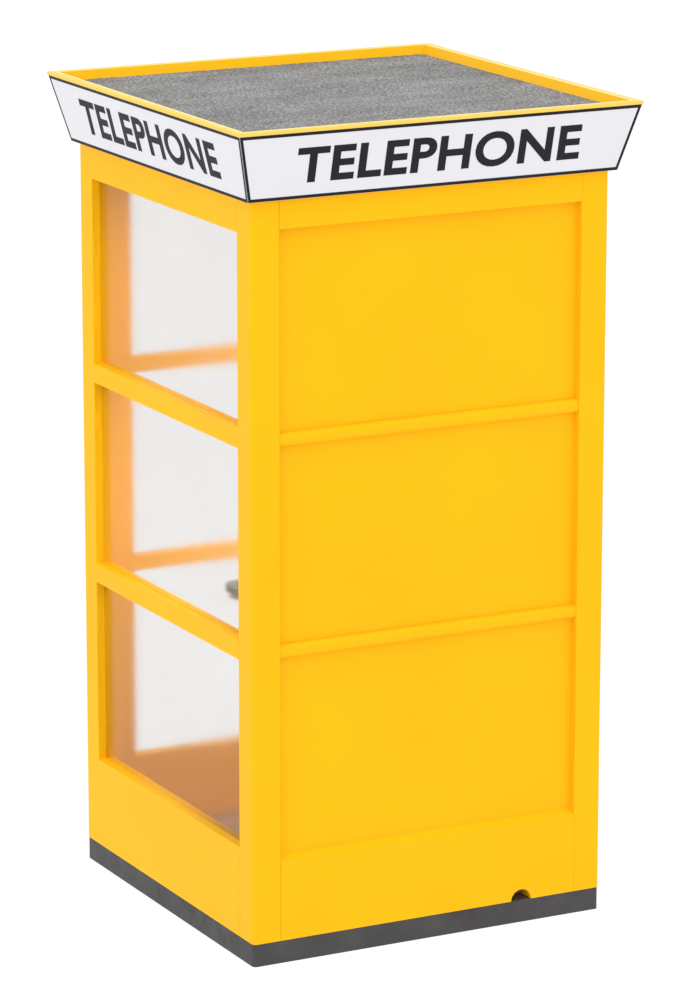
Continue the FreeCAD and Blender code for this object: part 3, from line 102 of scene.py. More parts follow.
def hang(obj, finish, body, replaces=(), sharp=35):
    """Welds a new object's mesh, gives it its finish and hangs it on its body."""
    work = bmesh.new()
    work.from_mesh(obj.data)
    bmesh.ops.remove_doubles(work, verts=work.verts, dist=1e-6)
    bmesh.ops.dissolve_degenerate(work, edges=work.edges, dist=1e-7)
    bmesh.ops.recalc_face_normals(work, faces=work.faces)
    work.to_mesh(obj.data)
    work.free()
    obj.data.shade_smooth()
    obj.data.set_sharp_from_angle(angle=math.radians(sharp))
    obj.data.materials.clear()
    obj.data.materials.append(finish)
    bpy.context.scene.collection.objects.link(obj)
    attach(obj, body)
    if replaces:
        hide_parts(*replaces)
    return obj


def across(axis):
    """Two unit vectors at right angles to axis and to each other, right-handed with it."""
    axis = np.asarray(axis, dtype=float)
    helper = np.array([0.0, 0.0, 1.0]) if abs(axis[2]) < 0.9 else np.array([1.0, 0.0, 0.0])
    first = np.cross(helper, axis)
    first /= np.linalg.norm(first)
    return first, np.cross(axis, first)


def turned(profile, centre, axis, steps=32):
    """A turned form: each (radius, height) of the profile becomes a ring, centre + height along the axis
    + radius times (cosine of the turn, sine of the turn) across it."""
    profile, axis = np.asarray(profile, dtype=float), np.asarray(axis, dtype=float)
    first, second = across(axis)
    turn = np.linspace(0, TAU, steps, endpoint=False)
    ring = np.cos(turn)[:, None] * first + np.sin(turn)[:, None] * second
    return np.asarray(centre) + profile[:, 1, None, None] * axis + profile[:, 0, None, None] * ring[None]


def carried(path, section, side):
    """A section carried along a path that lies in the plane square to side: each point is the path's point
    + u times the path's normal + v times side. section is (n, 2), or (path points, n, 2) where it
    changes."""
    path, side = np.asarray(path, dtype=float), np.asarray(side, dtype=float)
    section = np.broadcast_to(section, (len(path),) + np.shape(section)[-2:])
    along = np.gradient(path, axis=0)
    along /= np.linalg.norm(along, axis=1)[:, None]
    normal = np.cross(side, along)
    return path[:, None] + section[..., :1] * normal[:, None] + section[..., 1:] * side


def block(lo, hi, radius, steps=3):
    """A block with rounded edges: a corner's centre plus radius times a direction on the sphere, where the
    corner follows the signs of the direction."""
    lo, hi = np.asarray(lo, dtype=float), np.asarray(hi, dtype=float)
    middle, half = (lo + hi) / 2, (hi - lo) / 2
    quarter = np.linspace(0, math.pi / 2, steps + 1)
    rise = np.concatenate([quarter - math.pi / 2, quarter])
    turn = np.concatenate([quarter + k * math.pi / 2 for k in range(4)])
    sign_z = np.repeat([-1.0, 1.0], steps + 1)
    sign_x = np.repeat([1.0, -1.0, -1.0, 1.0], steps + 1)
    sign_y = np.repeat([1.0, 1.0, -1.0, -1.0], steps + 1)
    flat = np.cos(rise)[:, None]
    way = np.stack([flat * np.cos(turn), flat * np.sin(turn), np.sin(rise)[:, None] + 0 * turn], axis=2)
    sign = np.stack([sign_x + 0 * flat, sign_y + 0 * flat, sign_z[:, None] + 0 * turn], axis=2)
    return middle + sign * (half - radius) + radius * way


def outline_bar(outline, start, reach):
    """A closed outline of 3-D points pushed along reach, as two rings."""
    outline = np.asarray(outline, dtype=float)
    return np.stack([outline + start, outline + np.asarray(start) + np.asarray(reach)])


# ---------------------------------------------------------------- finishes
TEXTURES = {"noise": "ShaderNodeTexNoise", "cells": "ShaderNodeTexVoronoi", "wave": "ShaderNodeTexWave"}


class Finish:
    """A procedural material on Object coordinates, built up from noise, cells and bump."""

    def __init__(self, name, colour, **sockets):
        self.material = bpy.data.materials.new(name)
        self.material.use_nodes = True
        self.tree = self.material.node_tree
        self.shader = self.tree.nodes["Principled BSDF"]
        self.set(self.shader, "Base Color", (*colour, 1.0))
        for socket, value in sockets.items():
            self.set(self.shader, socket.replace("_", " "), value)
        self.coords = self.tree.nodes.new("ShaderNodeTexCoord")
        self.bump = None

    @staticmethod
    def set(node, socket, value):
        wanted = {s.name.lower(): s for s in node.inputs}[socket.lower()]
        wanted.default_value = value

    def link(self, a, b):
        self.tree.links.new(a, b)

    def texture(self, kind, scale, stretch=(1, 1, 1), **values):
        """A noise, Voronoi or wave texture in metres: scale is cells to the metre."""
        mapping = self.tree.nodes.new("ShaderNodeMapping")
        mapping.inputs["Scale"].default_value = stretch
        self.link(self.coords.outputs["Object"], mapping.inputs["Vector"])
        node = self.tree.nodes.new(TEXTURES[kind])
        for key, value in values.items():
            if key == "feature":
                node.feature = value
            else:
                self.set(node, key.replace("_", " "), value)
        node.inputs["Scale"].default_value = scale
        self.link(mapping.outputs["Vector"], node.inputs["Vector"])
        return node.outputs["Distance" if kind == "cells" else "Fac"]

    def ranged(self, source, low, high, near=0.3, far=0.7):
        """A texture's values from near to far, spread from low to high and held at both ends."""
        node = self.tree.nodes.new("ShaderNodeMapRange")
        for key, value in (("From Min", near), ("From Max", far), ("To Min", low), ("To Max", high)):
            node.inputs[key].default_value = value
        self.link(source, node.inputs["Value"])
        return node.outputs["Result"]

    def added(self, source, other, share):
        """source + share of the other texture."""
        node = self.tree.nodes.new("ShaderNodeMath")
        node.operation = "MULTIPLY_ADD"
        node.inputs[1].default_value = share
        self.link(other, node.inputs[0])
        self.link(source, node.inputs[2])
        return node.outputs["Value"]

    def colours(self, source, stops):
        """The base colour follows a texture through a ramp of (place, colour) stops."""
        ramp = self.tree.nodes.new("ShaderNodeValToRGB")
        while len(ramp.color_ramp.elements) < len(stops):
            ramp.color_ramp.elements.new(0.5)
        for element, (place, colour) in zip(ramp.color_ramp.elements, stops):
            element.position, element.color = place, (*colour, 1.0)
        self.link(source, ramp.inputs["Fac"])
        self.link(ramp.outputs["Color"], self.shader.inputs["Base Color"])
        return self

    def rough(self, low, high, scale=40, stretch=(1, 1, 1)):
        """Roughness that wanders between low and high."""
        source = self.texture("noise", scale, stretch, Detail=4.0)
        self.link(self.ranged(source, low, high), self.shader.inputs["Roughness"])
        return self

    def relief(self, kind, scale, depth, stretch=(1, 1, 1), strength=1.0, **values):
        """Bump of the given depth in metres; several calls add up."""
        bump = self.tree.nodes.new("ShaderNodeBump")
        bump.inputs["Distance"].default_value = depth
        bump.inputs["Strength"].default_value = strength
        self.link(self.texture(kind, scale, stretch, **values), bump.inputs["Height"])
        if self.bump:
            self.link(self.bump.outputs["Normal"], bump.inputs["Normal"])
        self.link(bump.outputs["Normal"], self.shader.inputs["Normal"])
        self.bump = bump
        return self


SKIN = {"scale": 260, "depth": 0.12 * MM, "strength": 0.5, "Detail": 2.0}      # orange peel in the paint
BRUSHING = {"scale": 9, "depth": 1.2 * MM, "strength": 0.16, "Detail": 1.0}    # slow swells from the brush


def shades(colour, low, high):
    """A colour made darker by low and lighter by high."""
    return [tuple(min(1.0, c * k) for c in colour) for k in (low, high)]


def enamel(name, colour, low=0.97, high=1.03, rough=(0.3, 0.4), specular=0.05):
    """Brushed-on gloss paint: a faint orange-peel skin over slow changes of tone."""
    finish = Finish(name, colour, specular_ior_level=specular)
    dark, light = shades(colour, low, high)
    finish.colours(finish.texture("noise", 2.4, Detail=3.0), [(0.3, dark), (0.7, light)])
    finish.rough(*rough, scale=14)
    finish.relief("noise", **SKIN)
    return finish.relief("noise", **BRUSHING).material


def metal(name, colour, rough, stretch=(1, 1, 1), scale=300, depth=0.05 * MM):
    """Bare or plated metal, brushed along the axis with the smallest stretch."""
    finish = Finish(name, colour, metallic=1.0)
    dark, light = shades(colour, 0.9, 1.06)
    finish.colours(finish.texture("noise", 30, stretch, Detail=4.0), [(0.3, dark), (0.7, light)])
    finish.rough(*rough, scale=scale / 4, stretch=stretch)
    return finish.relief("noise", scale, depth, stretch, Detail=3.0).material


def plastic(name, colour, rough, depth=0.05 * MM, scale=500, **sockets):
    """Moulded or sprayed surfaces: slow changes of tone over a fine grain."""
    finish = Finish(name, colour, **sockets)
    dark, light = shades(colour, 0.93, 1.06)
    finish.colours(finish.texture("noise", 7, Detail=3.0), [(0.3, dark), (0.7, light)])
    finish.rough(*rough, scale=25)
    return finish.relief("noise", scale, depth, Detail=2.0).material


YELLOW = (0.95, 0.505, 0.007)
# pale tone for the rim's faces that look up: painted top light
TOP_LIT_YELLOW = (0.88, 0.68, 0.2)
yellow_paint = enamel("yellow_enamel", YELLOW)
# paler yellow for the sign frame: painted top light on its flange
toplit_pale_enamel = enamel("toplit_pale_enamel", (0.9, 0.6, 0.12))
white_enamel = enamel("white_enamel", (0.765, 0.758, 0.795), low=0.985, high=1.01, rough=(0.34, 0.42))
ceiling_paint = enamel("ceiling_paint", (0.8, 0.79, 0.76), low=0.97, high=1.02, rough=(0.5, 0.62))
sign_ink = enamel("sign_ink", (0.022, 0.021, 0.024), low=0.9, high=1.1, rough=(0.35, 0.45))
grey_paint = enamel("grey_paint", (0.3, 0.3, 0.31), low=0.93, high=1.05, rough=(0.4, 0.5))
board_laminate = plastic("board_laminate", (0.145, 0.142, 0.135), (0.42, 0.55), depth=0.08 * MM,
                         scale=700)
opal_plastic = plastic("opal_plastic", (0.9, 0.9, 0.87), (0.2, 0.28), subsurface_weight=0.3,
                       subsurface_scale=0.01)
black_plastic = plastic("black_plastic", (0.014, 0.014, 0.015), (0.16, 0.26))
card_paper = plastic("card_paper", (0.8, 0.78, 0.7), (0.6, 0.75), depth=0.04 * MM, scale=1400)
silver_paint = plastic("silver_paint", (0.42, 0.42, 0.43), (0.3, 0.42), depth=0.06 * MM, scale=900,
                       metallic=0.6)
chrome = metal("chrome", (0.72, 0.73, 0.75), (0.08, 0.16), scale=200, depth=0.01 * MM)
steel = metal("hinge_steel", (0.5, 0.5, 0.51), (0.32, 0.45), stretch=(1, 1, 0.06))
galvanised = metal("galvanised_steel", (0.48, 0.49, 0.5), (0.38, 0.55), stretch=(1, 1, 0.3), scale=120)
plate_steel = metal("plate_steel", (0.33, 0.33, 0.34), (0.42, 0.58), stretch=(0.05, 1, 1))


def toplit_rim_enamel():
    """The rim's paint with painted top light: where a face looks up it is painted paler, and its normal's
    height picks the tone.
    """
    finish = Finish("toplit_rim_enamel", YELLOW, specular_ior_level=0.1)
    split = finish.tree.nodes.new("ShaderNodeSeparateXYZ")
    finish.link(finish.coords.outputs["Normal"], split.inputs["Vector"])
    finish.colours(finish.ranged(split.outputs["Z"], 0.0, 1.0, near=0.5, far=0.85),
                   [(0.0, YELLOW), (1.0, TOP_LIT_YELLOW)])
    finish.rough(0.32, 0.42, scale=14)
    return finish.relief("noise", **SKIN).material


def hammered_paint():
    """Hammer-finish grey: shallow rounded cells in the paint."""
    cells = 260
    finish = Finish("hammered_paint", (0.17, 0.185, 0.195), specular_ior_level=0.5)
    finish.colours(finish.texture("cells", cells), [(0.1, (0.13, 0.14, 0.15)), (0.6, (0.21, 0.225, 0.235))])
    finish.rough(0.3, 0.42)
    return finish.relief("cells", cells, 0.3 * MM, strength=0.5, feature="SMOOTH_F1").material


def milky_glass():
    """A pane of satin sheet glass: light goes through, and what stands further behind it blurs more."""
    finish = Finish("milky_glass", (0.88, 0.875, 0.87), transmission_weight=0.995, ior=1.15,
                    specular_ior_level=0.3)
    finish.colours(finish.texture("noise", 3, Detail=2.0), [(0.3, (0.87, 0.865, 0.86)),
                                                          (0.7, (0.89, 0.885, 0.88))])
    return finish.rough(0.145, 0.18, scale=3).material


def roof_grain():
    """Mineral-faced bitumen felt: light and dark grains pressed into a grey sheet, faintly streaked."""
    finish = Finish("roof_grain", (0.22, 0.22, 0.22), specular_ior_level=0.35)
    grains = finish.texture("noise", 105, (1, 1.6, 1), Detail=9.0, Roughness=0.82)
    streaks = finish.texture("noise", 5, (1, 2.2, 1), Detail=6.0, Roughness=0.65)
    streak_share = 0.14
    dark, middle, light = (0.026, 0.025, 0.023), (0.16, 0.159, 0.156), (0.49, 0.49, 0.48)
    finish.colours(finish.added(grains, streaks, streak_share),
                   [(0.445, dark), (0.57, middle), (0.685, light)])
    finish.rough(0.55, 0.9, scale=120)
    finish.relief("noise", 320, 1.1 * MM, Detail=4.0)
    return finish.relief("noise", 22, 2.2 * MM, strength=0.4, Detail=2.0).material


def cast_plinth():
    """Dark fine concrete, a little shiny from wear, with pinholes."""
    finish = Finish("cast_plinth", (0.062, 0.059, 0.06), specular_ior_level=0.25)
    finish.colours(finish.texture("noise", 9, Detail=8.0), [(0.3, (0.052, 0.049, 0.05)),
                                                          (0.7, (0.072, 0.069, 0.07))])
    finish.rough(0.45, 0.65, scale=30)
    finish.relief("noise", 190, 0.5 * MM, strength=0.6, Detail=4.0)
    return finish.relief("cells", 60, 0.3 * MM, strength=0.3).material


def mat_rubber():
    """Brown ribbed rubber, dulled unevenly by use."""
    finish = Finish("mat_rubber", (0.42, 0.26, 0.14), specular_ior_level=0.3)
    finish.colours(finish.texture("noise", 12, Detail=6.0), [(0.3, (0.36, 0.22, 0.115)),
                                                           (0.72, (0.5, 0.315, 0.18))])
    finish.rough(0.6, 0.85, scale=60)
    return finish.relief("noise", 500, 0.3 * MM, Detail=3.0).material


def book_cloth():
    """Grained binding cloth on the directories' covers."""
    finish = Finish("book_cloth", (0.04, 0.07, 0.14), sheen_weight=0.15, specular_ior_level=0.4)
    finish.colours(finish.texture("noise", 16, Detail=5.0), [(0.3, (0.03, 0.055, 0.115)),
                                                           (0.7, (0.055, 0.09, 0.17))])
    finish.rough(0.5, 0.7, scale=60)
    return finish.relief("cells", 700, 0.35 * MM, strength=0.7).material


def page_edges():
    """The cut edges of thin paper: fine lines, one to a leaf."""
    finish = Finish("page_edges", (0.78, 0.74, 0.62), specular_ior_level=0.2)
    lines = (1, 45, 1)
    leaves = finish.texture("noise", 60, lines, Detail=3.0)
    finish.colours(leaves, [(0.35, (0.56, 0.51, 0.4)), (0.65, (0.84, 0.8, 0.69))])
    finish.rough(0.75, 0.9)
    return finish.relief("noise", 60, 0.4 * MM, lines, Detail=3.0).material


def roof_board():
    """Plywood of the roof deck: long wavy grain."""
    finish = Finish("roof_board", (0.42, 0.29, 0.16))
    finish.colours(finish.texture("wave", 9, (1, 8, 1), Distortion=6.0, Detail=4.0),
                   [(0.2, (0.34, 0.22, 0.11)), (0.8, (0.5, 0.36, 0.2))])
    finish.rough(0.6, 0.8)
    return finish.relief("noise", 60, 0.3 * MM, (0.1, 1, 1), Detail=4.0).material


hammered, pane_glass, felt_grain = hammered_paint(), milky_glass(), roof_grain()
rim_toplit_paint, plywood = toplit_rim_enamel(), roof_board()
plinth_cast, rubber = cast_plinth(), mat_rubber()
cloth, pages = book_cloth(), page_edges()

CAD_FINISHES = {
    "yellow_timber": yellow_paint, "yellow_sheet": yellow_paint, "plinth_concrete": plinth_cast,
    "steel_plate": plate_steel, "mat_rubber": rubber, "clear_glass": pane_glass, "felt": felt_grain,
    "ceiling_white": ceiling_paint, "enamel_white": white_enamel, "opal_dome": opal_plastic,
    "chrome_bar": chrome, "hinge_steel": steel, "closer_paint": silver_paint, "grey_board": board_laminate,
    "grey_steel": grey_paint, "phone_grey": hammered, "black_gloss": black_plastic, "book_binding": cloth,
    "conduit_steel": galvanised, "roof_ply": plywood}
PAINTED_TOPLIGHT = {"roof_rim": rim_toplit_paint, "sign_frame": toplit_pale_enamel}   # nodes painted paler than their slot, as painted top light


def finish_cad_nodes():
    """Gives each CAD node the finish of its slot, or its own where it is painted paler as painted top
    light.
    """
    slots = {entry["node"]: entry["material_slot"] for entry in frame["record"]["subparts"]}
    for name, obj in frame["nodes"].items():
        finish = PAINTED_TOPLIGHT.get(name, CAD_FINISHES[slots[name]])
        if not obj.material_slots:
            obj.data.materials.append(finish)
        for holder in obj.material_slots:
            holder.material = finish


finish_cad_nodes()


def corners(node):
    """Lowest and highest corners of a node at rest, as arrays."""
    lo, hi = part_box(node)
    return np.array(lo), np.array(hi)


# ---------------------------------------------------------------- sign panels
PANEL_T = 3 * MM
SIGN_WORD = "TELEPHONE"
WORD_SHARE = 0.735        # of the panel's width
WORD_HEIGHT = 0.54        # of the panel's slope
BORDER_MARGIN = 0.6 * MM
BORDER_WIDTH = np.array([8 * MM, 9 * MM])   # up the sides, along the top and the foot
CORNER_GAP = 0.7 * MM     # how far a panel stops short of the corner with the next one
INK_T = 0.5 * MM
INK_ROOT = 0.2 * MM       # how far the ink reaches into the panel
LETTER_WEIGHT, LETTER_SPACING = 0.028, 1.06

panel_lo, panel_hi = corners("sign_panel_back")
foot_y, top_y = panel_lo[1] + PANEL_T, panel_hi[1]
slope = np.array([top_y - foot_y, panel_hi[2] - panel_lo[2]])
slope_length = np.linalg.norm(slope)
slope /= slope_length


def on_sign(points, quarter):
    """Places (sideways, up the slope, outward) points on one of the four sign panels: 0 back, 1 left,
    2 front, 3 right."""
    u, s, t = np.moveaxis(np.asarray(points, dtype=float), -1, 0)
    y = foot_y + s * slope[0] + t * slope[1]
    z = panel_lo[2] + s * slope[1] - t * slope[0]
    x = -u
    cosine, sine = (1, 0, -1, 0)[quarter], (0, 1, 0, -1)[quarter]
    return np.stack([x * cosine - y * sine, x * sine + y * cosine, z], axis=-1)


def sign_border(quarter):
    """A painted line round the panel: at each of its four corners, a section of outer and inner edge, root
    and face. Half the panel's width grows evenly up the slope."""
    low, high = foot_y - CORNER_GAP, top_y - CORNER_GAP
    flare = (high - low) / slope_length

    def ring(aside, along):
        s0, s1 = along, slope_length - along
        w0, w1 = low + flare * s0 - aside, low + flare * s1 - aside
        return np.array([(-w0, s0), (w0, s0), (w1, s1), (-w1, s1)])

    outer, inner = ring(BORDER_MARGIN, BORDER_MARGIN), ring(*(BORDER_MARGIN + BORDER_WIDTH))
    flat = np.stack([outer, outer, inner, inner], axis=1)
    height = np.broadcast_to(np.array([-INK_ROOT, INK_T, INK_T, -INK_ROOT]), (4, 4))
    grid = on_sign(np.concatenate([flat, height[..., None]], axis=2), quarter)
    return grid[::-1]


def text_arrays(word, weight, thickness):
    """A word as arrays of points and faces, one unit wide and high about its middle, and thickness deep."""
    curve = bpy.data.curves.new("word", "FONT")
    curve.body = word
    curve.offset = weight
    curve.extrude = 0.05                     # made thickness below
    curve.resolution_u = 6
    curve.space_character = LETTER_SPACING
    holder = bpy.data.objects.new("word", curve)
    bpy.context.scene.collection.objects.link(holder)
    bpy.context.view_layer.update()
    mesh = bpy.data.meshes.new_from_object(holder.evaluated_get(bpy.context.evaluated_depsgraph_get()))
    points = np.zeros(len(mesh.vertices) * 3)
    mesh.vertices.foreach_get("co", points)
    points = points.reshape(-1, 3)
    mesh.calc_loop_triangles()
    triangles = np.zeros(len(mesh.loop_triangles) * 3, dtype=int)
    mesh.loop_triangles.foreach_get("vertices", triangles)
    bpy.data.objects.remove(holder)
    bpy.data.curves.remove(curve)
    bpy.data.meshes.remove(mesh)
    lo, hi = points.min(axis=0), points.max(axis=0)
    points = (points - (lo + hi) / 2) / (hi - lo)
    points[:, 2] = (points[:, 2] + 0.5) * thickness
    return points, triangles.reshape(-1, 3)


def letter_signs():
    """The word and its border on each panel; the word is spread over its share of the panel."""
    word, triangles = text_arrays(SIGN_WORD, LETTER_WEIGHT, 1.0)
    width = (foot_y + top_y) * WORD_SHARE
    height = slope_length * WORD_HEIGHT
    flat = np.stack([word[:, 0] * width, word[:, 1] * height + slope_length / 2,
                     word[:, 2] * (INK_T + INK_ROOT) - INK_ROOT], axis=-1)
    for quarter, side in enumerate(("back", "left", "front", "right")):
        lettering = Shape().add(on_sign(flat, quarter), [triangles])
        lettering.piece("sign_lettering_" + side, sign_ink, "booth", "black_gloss")
        border = Shape().grid(sign_border(quarter), wrap_rows=True, caps=False)
        border.piece("sign_border_" + side, sign_ink, "booth", "black_gloss")


letter_signs()


# ---------------------------------------------------------------- panes
PANE_T = 3 * MM
SEAT = 9 * MM             # how far a slab reaches behind its frame
PUTTY = (-1 * MM, 1.6 * MM)   # from the edge of the opening: into the frame, onto the pane
PANE_GAP, PANE_ROUND = 0.4 * MM, 0.4 * MM       # between pane and seat, round the pane's edges


def slabs(node):
    """Lowest and highest corners of a node's slabs. Their faces come in pairs along each axis, and every
    choice of one pair from each axis is one slab."""
    mesh = frame["nodes"][node].data
    points = np.zeros(len(mesh.vertices) * 3)
    mesh.vertices.foreach_get("co", points)
    pairs = [np.unique(np.round(points[axis::3], 4)).reshape(-1, 2) for axis in range(3)]
    for choice in np.ndindex(*[len(p) for p in pairs]):
        yield np.array([pairs[axis][choice[axis]] for axis in range(3)]).T


def glaze(side, node, body):
    """Thin panes at the middle of a node's slabs, and a painted putty line round each: at the four corners
    of the opening, a four-cornered section that runs from face to face of the slab."""
    panes, putty = Shape(), Shape()
    for lo, hi in slabs(node):
        thin = np.argmin(hi - lo)
        wide = [axis for axis in range(3) if axis != thin]
        inset = np.full(3, PANE_GAP)
        inset[thin] = (hi[thin] - lo[thin] - PANE_T) / 2
        panes.grid(block(lo + inset, hi - inset, PANE_ROUND, 2))
        line = np.zeros((4, 4, 3))
        line[:, :, thin] = lo[thin], lo[thin], hi[thin], hi[thin]
        for corner, (at_u, at_v) in enumerate(((0, 0), (1, 0), (1, 1), (0, 1))):
            for axis, end in zip(wide, (at_u, at_v)):
                edge, inward = (hi[axis] - SEAT, -1) if end else (lo[axis] + SEAT, 1)
                line[corner, :, axis] = edge + inward * np.array([PUTTY[0], PUTTY[1], PUTTY[1], PUTTY[0]])
        putty.grid(line, wrap_rows=True, caps=False)
    panes.piece(side + "_panes", pane_glass, body, "clear_glass", replaces=[node], sharp=5)
    putty.piece(side + "_putty", yellow_paint, body, "yellow_timber")


glaze("side", "side_glass", "booth")
glaze("door", "door_glass", "door")


# ---------------------------------------------------------------- roof felt
FELT_COUNT = 200          # points along each side
SWELLS = 14
SWELL_PITCH = (5, 26)     # radians to the metre
SKIN_DROP, SWELL_DROP, GRAIN_DROP = 0.3 * MM, 1.2 * MM, 0.9 * MM
EDGE_LIFT, EDGE_REACH = 1 * MM, 20 * MM


def felt_sheet():
    """The felt as a height field with a straight skirt: its top less a skin, less the swells' share, which
    is one less the mean of sines in random directions, less a random grain, plus a lift that dies away
    from the edge as exp(-distance / reach)."""
    lo, hi = corners("roof_felt")
    count = FELT_COUNT
    random = np.random.default_rng(11)
    side = np.linspace(lo[0], hi[0], count)
    x, y = np.meshgrid(side, side, indexing="xy")
    swell = np.zeros_like(x)
    for _ in range(SWELLS):
        angle, pitch, phase = random.uniform(0, TAU), random.uniform(*SWELL_PITCH), random.uniform(0, TAU)
        swell += np.sin((x * math.cos(angle) + y * math.sin(angle)) * pitch + phase) / SWELLS
    grain = random.uniform(0, 1, x.shape)
    edge = np.minimum(np.minimum(x - lo[0], hi[0] - x), np.minimum(y - lo[1], hi[1] - y))
    z = hi[2] - SKIN_DROP - SWELL_DROP * (1 - swell) - GRAIN_DROP * grain
    z = np.minimum(z + EDGE_LIFT * np.exp(-edge / EDGE_REACH), hi[2])
    top = np.stack([x, y, z], axis=2)
    rim = np.concatenate([np.arange(count), np.arange(1, count) * count + count - 1,
                          np.arange(count - 2, -1, -1) + (count - 1) * count,
                          np.arange(count - 2, 0, -1) * count])
    foot = top.reshape(-1, 3)[rim].copy()
    foot[:, 2] = lo[2]
    ring = len(rim)
    ahead = (np.arange(ring) + 1) % ring
    lower = count * count + np.arange(ring)
    skirt = np.stack([lower, lower[ahead], rim[ahead], rim], axis=1)
    shape = Shape().add(top, [grid_faces(count, count)]).add(foot, [])
    shape.faces += [skirt, lower[None, ::-1]]
    shape.piece("felt_sheet", felt_grain, "booth", "felt", replaces=["roof_felt"], sharp=60)


felt_sheet()


# ---------------------------------------------------------------- screws
def screw_heads(name, places, way, radius, finish, body, slot):
    """Low round heads with a hexagon socket, as shares of the head's radius: the socket's rings are the
    apothem over the cosine of the turn within one side."""
    apothem = 0.42
    turn = np.linspace(0, TAU, 24, endpoint=False)
    six = apothem / np.cos((turn % (TAU / 6)) - TAU / 12)
    one = np.ones_like(turn)
    rings = np.stack([one, one, 0.86 * one, 0.62 * one, six, 0.98 * six])
    heights = np.array([-0.05, 0.22, 0.42, 0.48, 0.46, 0.1]) * radius
    first, second = across(way)
    ring = np.cos(turn)[:, None] * first + np.sin(turn)[:, None] * second
    head = rings[..., None] * radius * ring[None] + heights[:, None, None] * np.asarray(way, dtype=float)
    shape = Shape()
    for place in places:
        shape.grid(head + np.asarray(place))
    return shape.piece(name, finish, body, slot)


LEAF_H, LEAF_T = 100 * MM, 3 * MM               # one leaf of a hinge
LEAF_SCREW_IN, LEAF_SCREW_PITCH = 11 * MM, 36 * MM


def hinge_screws():
    """Three screws in each leaf of the three hinges."""
    frame_lo, frame_hi = corners("hinge_leaves_frame")
    middles = np.linspace(frame_lo[2] + LEAF_H / 2, frame_hi[2] - LEAF_H / 2, 3)
    heights = [z + rise for z in middles for rise in (-LEAF_SCREW_PITCH, 0, LEAF_SCREW_PITCH)]
    for node, body in (("hinge_leaves_frame", "booth"), ("hinge_leaves_door", "door")):
        lo, hi = corners(node)
        x = hi[0] - LEAF_SCREW_IN if body == "booth" else lo[0] + LEAF_SCREW_IN
        places = [(x, hi[1] - LEAF_T, z) for z in heights]
        screw_heads("hinge_screws_" + body, places, (0, -1, 0), 4.4 * MM, steel, body, "hinge_steel")


hinge_screws()


def closer_details():
    """Two adjusting screws near the end of the closer's body."""
    lo, hi = corners("closer_body")
    places = [(hi[0] - back, hi[1], lo[2] + 17 * MM) for back in (20 * MM, 45 * MM)]
    screw_heads("closer_adjusters", places, (0, 1, 0), 4 * MM, steel, "door", "closer_paint")


closer_details()


# ---------------------------------------------------------------- floor mat
RIB_PITCH, RIB_W, RIB_H = 16 * MM, 7 * MM, 2.2 * MM
RIB_TAPER = 2 * MM        # at each end
RIB_ROOT = 0.3 * MM       # how far a rib reaches into the mat
RIB_SHORTEST = 6 * MM
MAT_EDGE, POST_GAP = 8 * MM, 8 * MM
HOLE_AT, HOLE_R = 440 * MM, 28 * MM             # round the anchors' reach-through holes


def mat_ribs():
    """Low half-round ribs across the mat: the section is half an ellipse, (-cosine of the bend times half
    the width, sine of the bend times the height), lower at both ends. Ribs stop at the holes."""
    lo, hi = corners("floor_mat")
    between_posts = corners("post_back_right")[0][0] - POST_GAP
    shape = Shape()
    bend = np.linspace(0, math.pi, 6)
    section = np.stack([-np.cos(bend) * RIB_W / 2, np.sin(bend) * RIB_H], axis=1)
    swell = np.array([0.2, 1.0, 1.0, 0.2])
    for y in np.arange(lo[1] + 12 * MM, hi[1] - MAT_EDGE, RIB_PITCH):
        reach = hi[0] - MAT_EDGE if abs(y) < between_posts else between_posts
        spans = [(-reach, reach)]
        if abs(abs(y) - HOLE_AT) < HOLE_R:
            bite = math.sqrt(HOLE_R ** 2 - (abs(y) - HOLE_AT) ** 2)
            spans = [(-reach, -HOLE_AT - bite), (-HOLE_AT + bite, HOLE_AT - bite), (HOLE_AT + bite, reach)]
        for x0, x1 in spans:
            if x1 - x0 < RIB_SHORTEST:
                continue
            ends = np.array([x0, x0 + RIB_TAPER, x1 - RIB_TAPER, x1])
            grid = np.zeros((4, len(section), 3))
            grid[..., 0] = ends[:, None]
            grid[..., 1] = y + section[None, :, 0]
            grid[..., 2] = hi[2] - RIB_ROOT + section[None, :, 1] * swell[:, None]
            shape.grid(grid[:, ::-1])
    shape.piece("mat_ribs", rubber, "booth", "mat_rubber")


mat_ribs()


# ---------------------------------------------------------------- telephone
WHEEL_GAP = 4.8 * MM      # from the housing's face to the back of the finger wheel
phone_lo, _ = corners("phone_housing")
wheel_lo, wheel_hi = corners("dial_wheel")
dial_centre = np.array([0.0, wheel_hi[1], (wheel_lo[2] + wheel_hi[2]) / 2])
phone_face = wheel_hi[1] + WHEEL_GAP

CARD_R = (20 * MM, 39 * MM)                    # the dial's card, inner and outer
CARD_T, CARD_BACK = 0.2 * MM, 0.85 * MM
FIGURES_R, FIGURE_H, FIGURE_T = 31 * MM, 6 * MM, 0.12 * MM
FIGURE_W, NARROW_W = 3.6 * MM, 2.2 * MM         # narrow is the figure one
FIRST_FIGURE, FIGURE_TURN = 52, 27.5            # degrees


